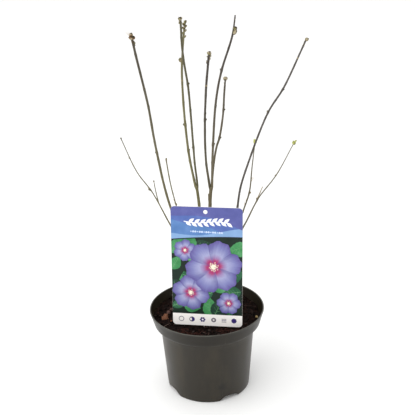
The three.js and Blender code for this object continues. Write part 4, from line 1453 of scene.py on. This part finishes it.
class HIBISCUS_OT_limbs(bpy.types.Operator):
    """Grows the trunk, the boughs and their arms and shoots, with the relief of their bark."""

    bl_idname = "hibiscus.limbs"
    bl_label = "Trunk and limbs"

    def execute(self, context):
        looks = context.scene.hibiscus_bark
        rng = random.Random(SCALES["seed"])
        self.trunk(looks)
        for tone in TONES:
            names = [name for name, limb in LIMBS.items() if limb["tone"] == tone]
            form = Form()
            for name in names:
                self.limb(form, name, looks, rng)
            paints = [bark_paint(looks, tone), bark_paint(looks, "scar")]
            seat(built(f"limbs_{tone}", form, paints, closed=False), "bark", *names)
        return {"FINISHED"}

    def trunk(self, looks):
        """The short stock: a ribbed flare at the soil and a knuckle that the limbs grow from."""
        rows, sides = STOCK["rows"], STOCK["sides"]
        points = []
        for share in np.linspace(-0.06, 1, rows):
            centre = STOCK_FOOT + (STOCK_TOP - STOCK_FOOT) * share
            over_dome = max(0, (share - STOCK["dome"]) / (1 - STOCK["dome"]))
            rounding = math.sqrt(1 - 0.88 * over_dome**2)
            ease = smooth_step(share, 0.35, 0.8)
            girth_here = (STOCK["waist"] + (STOCK["knuckle"] - STOCK["waist"]) * ease) * rounding
            fade = math.exp((STOCK_FOOT[2] - centre[2]) / FLARE["fade"])
            for turn in ways_round(sides):
                rib = 1 + FLARE["rib"] * fade * math.cos(FLARE["ribs"] * turn + 0.7)
                radius = girth_here * (1 + FLARE["swell"] * fade) * rib
                way = Vector((math.cos(turn) * 1.6, math.sin(turn) * 1.6, centre[2] * 0.11))
                radius += looks.stock_relief * (noise.noise(way * 2) + 0.6 * noise.noise(way * 5))
                points.append(centre + np.array([radius * math.cos(turn), radius * math.sin(turn), 0]))
        form = Form()
        top, last = rows * sides, (rows - 1) * sides
        fan = [(top, last + i, last + (i + 1) % sides) for i in range(sides)]
        form.add([*points, STOCK_TOP + np.array([0, 0, 0.6])], grid_faces(rows, sides) + fan)
        numbers = {"Contrast": 1.5, "Grain": 2.0}
        old_bark = material("bark_old", "bark", {"Base": looks.old}, numbers, (0.9, 0.5))
        seat(built("trunk_bark", form, [old_bark], closed=False), "bark", "trunk")

    def limb(self, form, name, looks, rng):
        """One limb with its resting buds, joints, ring scars and short side shoots."""
        limb = LIMBS[name]
        kind = name.split("_")[0]
        course = Course(limb["knees"])
        end = course.length - limb.get("twig", 0)
        lead, collar = FEET[kind]
        reaches = np.linspace(-lead, end, max(8, round((end + lead) / looks.step)))
        joints = JOINTS.get(name, ())
        knuckles = [joint[0] for joint in joints]
        forks = [course.length] if limb.get("forks") else []
        relief = looks.relief * limb["thick"][1] / 3
        skin = bark_skin(limb, course.length, relief, rng, collar, knuckles + forks)
        sides = 16 if limb["thick"][0] > 2.2 else 10
        tube(form, course, reaches, sides, skin, BARK, 0.9 if forks else 0.2)
        self.resting_buds(form, limb, course, end, knuckles, rng)
        for reach, turn, wide, long in joints:
            corky = kind == "shoot" and reach < course.length - 5
            tones = (SCAR, SCAR, BARK) if corky else (BARK, BARK, SCAR)
            seat_bud(form, limb, course, (course.length - reach, turn, wide, long), tones, rng, 7)
        if name in KNOB:
            seat_bud(form, limb, course, KNOB[name], (BARK, SCAR, SCAR), rng, 9)
        for reach in RINGS.get(name, ()):
            band = np.linspace(reach - 0.9, reach + 0.9, 5)
            raised = 1 + 0.09 * np.array([0, 0.8, 1, 0.8, 0])[:, None]
            tube(form, course, band, 14, lambda along, turn: skin(along, turn) * raised, SCAR, 0.02)
        for facts in (SIDE_TWIG, CUT_STUB, SPRIG):
            if facts["from"] == name:
                self.side_shoot(form, facts, course, looks, rng)

    def side_shoot(self, form, facts, parent, looks, rng):
        """A short twig or a cut stub that leaves a limb part way up."""
        start, heading = parent.at(parent.length * facts["leaves"])
        tip = np.array(facts["tip"], float)
        side = Course([start, (start + tip) / 2 + heading * 2, tip])
        reaches = np.linspace(0, side.length, max(8, round(side.length / looks.step)))
        skin = bark_skin(facts, side.length, looks.relief * 0.4, rng)
        tube(form, side, reaches, 12, skin, SCAR if facts is SPRIG else BARK, 0.15)
        if facts is CUT_STUB:
            def wood(along, turn):
                return 0.78 * girth(facts, along, side.length) + 0 * turn

            tube(form, side, np.array([side.length, side.length + 0.12]), 12, wood, SCAR, 0.05)
        if facts is SIDE_TWIG:
            tip, heading = side.at(side.length)
            add_bud(form, tip + heading * 0.6, heading, 1.9, 1.5, (BARK, SCAR), rng, 6)

    def resting_buds(self, form, limb, course, end, knuckles, rng):
        """Small resting buds above the old leaf scars."""
        for place, turn in joint_places(course.length):
            if 12 < place < end - 6 and all(abs(place - knuckle) > 8 for knuckle in knuckles):
                centre, heading = course.at(place + 1.2)
                side = sideways(heading, turn)
                radius = float(girth(limb, place, course.length))
                wide = min(1.1, 0.4 * radius + 0.3)
                seat_at = centre + side * (radius - 0.1 * wide)
                add_bud(form, seat_at, unit(heading + 0.3 * side), wide, 1.8, (BARK,), rng, 4)


def bark_paint(looks, tone):
    """The bark material of a tone, made once."""
    name = f"bark_{tone}"
    if name in bpy.data.materials:
        return bpy.data.materials[name]
    colours = {"Base": getattr(looks, tone), "Young": looks.plum}
    return material(name, "bark", colours, {"Youth_and_painted_light": YOUTH_AND_PAINTED_LIGHT.get(tone, 0.0)}, (0.5, 0.12), 0.35)


# Twigs and buds

class HIBISCUS_OT_twigs(bpy.types.Operator):
    """Grows the tips of the limbs: twigs, buds wrapped in scales, leaflets and dry wisps."""

    bl_idname = "hibiscus.twigs"
    bl_label = "Twigs and buds"

    def execute(self, context):
        bark = context.scene.hibiscus_bark
        looks = context.scene.hibiscus_buds
        rng = random.Random(SCALES["seed"] + 1)
        wood, buds, leaves, wisps = Form(), Form(), Form(), Form()
        masses = {limb["mass"]: limb for limb in LIMBS.values() if "mass" in limb}
        for name, limb in masses.items():
            course = Course(limb["knees"])
            self.twig(wood, limb, course, bark, rng)
            self.buds(buds, name, limb, course, looks, rng)
            self.wisps(wisps, name, limb, course, looks, rng)
            self.leaflets(leaves, LEAFLETS.get(name, ()), course)
        for name, threads in THREADS.items():
            self.threads(wisps, LIMBS[name], threads, rng)
        tones = shades(looks, "pale", "olive", "russet", "green", "heart")
        scales = crumbly("bud", tones, 1300.0, (0.5, 0.15))
        # The shaded green is a painted-shade copy of the young green
        greens = crumbly("leaf", {"young": looks.green, "shaded": looks.shaded}, 1200.0, (0.3, 0.1))
        dry = crumbly("dry", {"wisp": looks.wisp}, 1500.0, (0.2, 0.05))
        seat(built("twigs", wood, [bark_paint(bark, tone) for tone in TONES], sharp=50), "bark", *masses)
        seat(built("buds", buds, scales, closed=False), "bud")
        seat(built("leaflets", leaves, greens, closed=False), "leafbud")
        seat(built("wisps", wisps, dry), "bud")
        return {"FINISHED"}

    def twig(self, form, limb, course, bark, rng):
        """The bare twig that ends a limb."""
        start = course.length - limb["twig"] - 0.4
        reaches = np.linspace(start, course.length, max(8, round(limb["twig"] / bark.step)))
        skin = bark_skin(limb, course.length, bark.relief * limb["thick"][1] / 3, rng)
        tube(form, course, reaches, 14, skin, TONES.index(limb["tone"]))

    def buds(self, form, name, limb, course, looks, rng):
        """The buds listed for a twig, and small scales below its tip."""
        tones, listed = TWIGS[name]
        heart = tones[0] if name in LEAFLETS else HEART
        for bud in listed:
            worn = bud[4] if len(bud) > 4 else tones
            cupped = 0.24 if bud[0] <= 1 else 0.12
            seat_bud(form, limb, course, bud[:4], worn, rng, looks.scales, cupped, heart)
        for bud in scale_buds(limb, rng):
            seat_bud(form, limb, course, bud, tones, rng, 5)

    def wisps(self, form, name, limb, course, looks, rng):
        """Dry threads that stand up round the topmost bud."""
        if "point" in limb:
            return
        tip, heading = course.at(course.length)
        tuft = name == TUFT["on"]
        for k in range(looks.wisps * TUFT["times"] if tuft else looks.wisps):
            side = sideways(heading, GOLDEN * k)
            lean = rng.uniform(0.3, 1)
            if tuft:
                side = unit(side * 0.5 - across(heading)[0])
                lean *= TUFT["lean"]
            long = (TUFT if tuft else WISP)["long"] * rng.uniform(0.6, 1)
            start = tip + side * limb["thick"][2] * 0.5
            add_wisp(form, start, unit(heading + side * lean), long, WISP["thick"], rng)

    def threads(self, form, limb, threads, rng):
        """Dry threads at joints lower on a shoot."""
        course = Course(limb["knees"])
        for reach, turn, long in threads:
            centre, heading = course.at(reach)
            side = sideways(heading, math.radians(turn))
            start = centre + side * float(girth(limb, reach, course.length)) * 0.8
            add_wisp(form, start, unit(heading + side * 0.6), long, 0.7, rng)

    def leaflets(self, form, leaflets, course):
        """Small leaves that have just opened at a tip."""
        tip, heading = course.at(course.length)
        for turn, lean, long, wide, paint in leaflets:
            side = sideways(heading, math.radians(turn))
            aim = unit(heading + side * lean)
            add_leaflet(form, tip - heading * 3, aim, unit(np.cross(aim, side)), long, wide, paint)


# Tag

class HIBISCUS_OT_tag(bpy.types.Operator):
    """Prints the card with a made-up picture of blossoms, and finishes the card and its pin."""

    bl_idname = "hibiscus.tag"
    bl_label = "Tag"

    def execute(self, context):
        looks = context.scene.hibiscus_tag
        rng = random.Random(looks.seed)
        self.card(looks)
        self.ground(looks)
        self.leaves(looks, rng)
        self.blossoms(looks)
        self.marks(looks)
        return {"FINISHED"}

    def card(self, looks):
        """The bare card and the pin keep their solids and take a finish."""
        white = {"Base": looks.stock, "Dust": looks.dust}
        card = material("card_stock", "plastic", white, {"Dustiness": 0.1, "Gloss": 0.35}, (0.05, 0.02))
        pin = material("pin_plastic", "plastic", white, {"Dustiness": 0.25, "Gloss": 0.42}, (0.2, 0.05))
        for name, paint in (("tag", card), ("tag_pin", pin)):
            solid = frame["nodes"][name]
            solid.data.materials.clear()
            solid.data.materials.append(paint)

    def printed(self, name, form, inks, *others):
        """Flat shapes laid on the card; each ink is a colour and how mottled it is."""
        paints = [
            material(f"ink_{ink}", "ink", {"Ink": colour}, {"Mottle": mottle}, (0.05, 0.02), 0.25)
            for ink, (colour, mottle) in inks.items()
        ]
        piece = built(name, form, [*others, *paints], closed=False)
        piece.matrix_world = CARD_PLACE
        return seat(piece, "card")

    def ground(self, looks):
        """The header, the picture's dark ground and the strip."""
        half, corner, low = PANEL["half"], CARD["corner"] - 0.1, PANEL["low"]
        high_left, high_right, low_left, low_right = (
            arc(side * (half - corner), y, corner, start, start + 90)
            for side, y, start in (
                (-1, CARD["height"] - 0.1 - corner, 90), (1, CARD["height"] - 0.1 - corner, 0),
                (-1, corner + 0.1, 180), (1, corner + 0.1, 270),
            )
        )
        form = Form()
        up, radius = CARD["height"] - CARD_HOLE["down"], CARD_HOLE["radius"] + 0.15
        hole = arc(CARD_HOLE["across"], up, radius, 360, 15, 24)
        along = np.linspace(-half, half, 24)
        colours = {"ground": header_edge, "dusk": dusk_edge, "violet": violet_edge}
        for paint, (layer, edge) in enumerate(colours.items()):
            lower = [(x, max(edge(x), header_edge(x))) for x in along]
            flat_face(form, lower + high_right + high_left, LAYERS[layer], paint, [hole])

        def band(layer, low_edge, high_edge, paint):
            """A band between two edges across the card."""
            lower, higher = ([(x, edge(x)) for x in along] for edge in (low_edge, high_edge))
            flat_face(form, lower + higher[::-1], LAYERS[layer], paint)

        band("pale", header_edge, lambda x: header_edge(x) + 8 + 5 * math.sin((x - 24) / 22), 3)
        panel = [(-half, low), (half, low), *((x, header_edge(x)) for x in reversed(along))]
        flat_face(form, panel, LAYERS["ground"], 4)
        flat_face(form, [(half, low), (-half, low), *low_left, *low_right], LAYERS["ground"], 5)
        band("line", lambda x: header_edge(x) - 1.3, lambda x: header_edge(x) + 0.2, 6)
        inks = {
            "header": (looks.blue, 0.3), "dusk": (looks.dusk, 0.3), "violet": (looks.violet, 0.3),
            "pale_blue": (looks.pale_blue, 0.2), "shade": (looks.shade, 1.0), "strip": (looks.paper, 0.05),
            "line": (looks.line, 0.1),
        }
        self.printed("print_ground", form, inks)

    def leaves(self, looks, rng):
        """Toothed leaves strewn behind the blossoms, each with a pale rib and side veins."""
        form = Form()
        spots = list(LEAF_SPOTS)
        rng.shuffle(spots)
        for k, (x, y) in enumerate(spots):
            long = rng.uniform(24, 36)
            turn = rng.uniform(0, 2 * math.pi)
            x += rng.uniform(-7, 7) + 0.5 * long * math.sin(turn)
            y += rng.uniform(-7, 7) - 0.5 * long * math.cos(turn)
            wide, level = long * rng.uniform(0.5, 0.68), LAYERS["leaves"] + OVER["leaf"] * k
            self.leaf(form, x, y, turn, long, wide, level, rng.choice((0, 0, 1, 2)))
        tones = shades(looks, "leaf", "leaf_deep", "leaf_dark", "rib")
        self.printed("print_leaves", form, {name: (colour, 0.9) for name, colour in tones.items()})

    def leaf(self, form, x, y, turn, long, wide, level, paint):
        """One printed leaf from its stalk at a place, kept inside the picture."""
        def lay(outline, height, ink):
            flat_face(form, [self.within(point) for point in turned_by(outline, turn, x, y)], height, ink)

        lay(leaf_outline(long, wide), level, paint)
        lay([(-0.4, 1), (0.4, 1), (0.1, long * 0.92), (-0.1, long * 0.92)], level + OVER["vein"], 3)
        for k in range(1, 6):
            foot, reach = long * k / 7, wide * 0.4 * math.sin(math.pi * (k / 7) ** 0.75)
            for side in (-1, 1):
                vein = [(0, foot), (side * reach, foot + reach * 0.8), (0, foot + 0.55)]
                lay(vein[::-side], level + OVER["vein"], 3)

    def within(self, point):
        """Keeps a printed point inside the picture's frame."""
        x = min(PANEL["half"], max(-PANEL["half"], point[0]))
        return x, min(header_edge(x) - 1.3, max(PANEL["low"], point[1]))

    def blossoms(self, looks):
        """Round blossoms of overlapping petals, with a dark eye and a cream middle."""
        form, petals = Form(), []
        for x, y, radius, turn, level in BLOSSOMS:
            for k in range(looks.petals):
                way = turn + 2 * math.pi * k / looks.petals
                petals += self.petal(form, x, y, radius, way, level + OVER["petal"] * k)
            middle = [
                polar(x, y, 0.1 * radius * (1 + 0.2 * math.cos(11 * way)), way)
                for way in ways_round(66)
            ]
            flat_face(form, middle, level + OVER["middle"], 1)
            for k in range(16):
                x_dot, y_dot = polar(x, y, radius * (0.12 + 0.05 * (k % 3) / 2), GOLDEN * k)
                flat_face(form, arc(x_dot, y_dot, 0.02 * radius, 0, 315, 8), level + OVER["dots"], 1)
            petals += [(0, 0, 0)] * (len(form.points) - len(petals))
        piece = self.printed("print_blossoms", form, {"cream": (looks.cream, 0.3)}, self.petal_ink(looks))
        layer = piece.data.attributes.new("petal", "FLOAT_VECTOR", "POINT")
        layer.data.foreach_set("vector", np.ravel(petals))

    def petal(self, form, x, y, radius, turn, level):
        """One rounded petal as a fan of rings. Gives its points' own places: across, along and its turn."""
        over, along = np.meshgrid(np.linspace(-1, 1, 11), np.linspace(0, 1, 9))
        ruffle = 0.03 * np.cos(over * 9 + 3 * turn) * along
        reach = radius * along * (1 - 0.2 * np.abs(over) ** 2.4 + ruffle)
        way = turn + over * 0.68 * (1 - 0.2 * along)
        points = (x + reach * np.cos(way), y + reach * np.sin(way), level + 0.02 * (over + 1))
        form.add_grid(np.stack(points, -1), 0, False)
        return [(*place, turn) for place in zip(over.flat, along.flat)]

    def petal_ink(self, looks):
        """Petal colour from its own along and across: dark eye, pale throat, violet edge and fine veins."""
        made, tree, surface = bare_material("ink_petal")
        place = tree.node("ShaderNodeAttribute", attribute_name="petal").outputs["Vector"]
        across_petal, along_petal, _ = tree.split(place)
        stretched = tree.node("ShaderNodeMapping", {"Vector": place, "Scale": (9, 1.2, 3)}).outputs[0]
        veins = tree.noise(stretched, 2.2, 4, 0.6)
        reach = tree.plus(along_petal, tree.spread(veins, 0.3, 0.7, -0.06, 0.06))
        ramp = tree.node("ShaderNodeValToRGB", {"Fac": reach})
        stops = [(0.25, looks.eye), (0.36, looks.throat), (0.5, looks.petal_light), (0.78, looks.petal)]
        first, last = ramp.color_ramp.elements
        first.color, last.color = (*looks.eye, 1), (*looks.petal_edge, 1)
        for position, colour in stops:
            ramp.color_ramp.elements.new(position).color = (*colour, 1)
        patches = tree.spread(tree.noise(place, 3.1, 3), 0.3, 0.6, 0.2, 0.7)
        shade = tree.times(tree.spread(across_petal, 0.2, 1.0), patches)
        shaded = tree.blend(shade, ramp.outputs[0], (*looks.petal_shade, 1))
        wear(tree, surface, "ink", {"Ink": shaded, "Mottle": 0.15})
        return made

    def marks(self, looks):
        """A white sprig with a row of beads across the header, and plain signs on the strip."""
        form = Form()

        def stem(x, beside=0):
            """Height of the sprig's stem, or of a line beside its middle."""
            return SPRAY["up"] + 1.5 * math.sin(x / 10) - 0.02 * x + beside

        along, half = np.linspace(-SPRAY["half"], SPRAY["half"], 30), SPRAY["stem"]
        line = [(x, stem(x, -half)) for x in along] + [(x, stem(x, half)) for x in reversed(along)]
        flat_face(form, line, LAYERS["stem"], 0)
        outline = leaf_outline(SPRAY["long"], SPRAY["wide"], 0, 12)
        for k, x in enumerate(np.linspace(-SPRAY["reach"], SPRAY["reach"], SPRAY["leaves"])):
            turn = math.radians(-52 if k % 2 else -128)
            flat_face(form, turned_by(outline, turn, x, stem(x)), LAYERS["sprig"], 0)
        for k in range(BEADS["count"]):
            x, y = (first + step * k for first, step in zip(BEADS["first"], BEADS["step"]))
            size = BEADS["big"] if k % 3 else BEADS["small"]
            flat_face(form, arc(x, y, size, 0, 315, 10), LAYERS["sprig"], 3)
        for x, kind in SIGNS.items():
            for outline, paint, *holes in self.sign(kind, x, SIGN["up"], SIGN["size"]):
                flat_face(form, outline, LAYERS["signs"], paint, holes)
        inks = {
            "white": (looks.garland, 0.05), "mark": (looks.ink, 0.2), "mark_grey": (looks.mark_grey, 0.2),
            "bead": (looks.bead, 0.05),
        }
        self.printed("print_marks", form, inks)

    def sign(self, kind, x, y, size):
        """The outlines of a sign at a place, each with its paint and any hole in it."""
        if kind == "ring":
            return [(arc(x, y, size, 0, 345, 24), 2, arc(x, y, size - 0.9, 345, 0, 24))]
        if kind == "half":
            hollow = (arc(x, y, size, 90, 270, 14), 2, arc(x - 1.1, y, size * 0.5, 345, 0, 16))
            return [(arc(x, y, size, -90, 90, 14), 1), hollow]
        if kind == "dots":
            return [(arc(*polar(x, y, 2.7, k * math.pi / 3), 1.45, 0, 330, 12), 1) for k in range(6)]
        if kind == "disc":
            return [(arc(x, y, size * 0.9, 0, 345, 24), 2, arc(x, y, size * 0.35, 345, 0, 16))]
        if kind == "star":
            return [([polar(x, y, *spoke) for spoke in zip((4.4, 3.4) * 8, ways_round(16))], 1)]
        bars = []
        for k, paint in enumerate((2, 1, 2)):
            low, high = y - 2.8 + 2.2 * k, y - 1.9 + 2.2 * k
            bars.append(([(x - 3.4, low), (x + 3.4, low), (x + 3.4, high), (x - 3.4, high)], paint))
        return bars


class HIBISCUS_PT_panel(bpy.types.Panel):
    """Lists the steps that build the plant."""

    bl_idname = "HIBISCUS_PT_panel"
    bl_label = "Potted hibiscus"
    bl_space_type = "VIEW_3D"
    bl_region_type = "UI"
    bl_category = "Hibiscus"

    def draw(self, context):
        for step in STEPS:
            self.layout.operator(step.bl_idname)


LOOKS = {
    "hibiscus_stage": StageLooks, "hibiscus_bark": BarkLooks, "hibiscus_buds": BudLooks,
    "hibiscus_soil": SoilLooks, "hibiscus_pot": PotLooks, "hibiscus_tag": TagLooks,
}
STEPS = (
    HIBISCUS_OT_stage, HIBISCUS_OT_pot, HIBISCUS_OT_soil,
    HIBISCUS_OT_limbs, HIBISCUS_OT_twigs, HIBISCUS_OT_tag,
)
CLASSES = (*LOOKS.values(), *STEPS, HIBISCUS_PT_panel)


def register():
    """Adds the properties, steps and panel."""
    for cls in CLASSES:
        bpy.utils.register_class(cls)
    for name, looks in LOOKS.items():
        setattr(bpy.types.Scene, name, PointerProperty(type=looks))


def unregister():
    """Takes away what register adds."""
    for name in LOOKS:
        delattr(bpy.types.Scene, name)
    for cls in reversed(CLASSES):
        bpy.utils.unregister_class(cls)


def main():
    """Clears the start-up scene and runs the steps."""
    for thing in list(bpy.data.objects):
        if thing.type in {"CAMERA", "LIGHT"} or thing.name == "Cube":
            bpy.data.objects.remove(thing)
    register()
    bpy.ops.hibiscus.stage()
    bpy.ops.hibiscus.pot()
    bpy.ops.hibiscus.soil()
    bpy.ops.hibiscus.limbs()
    bpy.ops.hibiscus.twigs()
    bpy.ops.hibiscus.tag()
    boxes = {"cad": CAD_BOX, "visual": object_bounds()}
    {name: [list(corner) for corner in box] for name, box in boxes.items()}


if __name__ == "__main__":
    main()
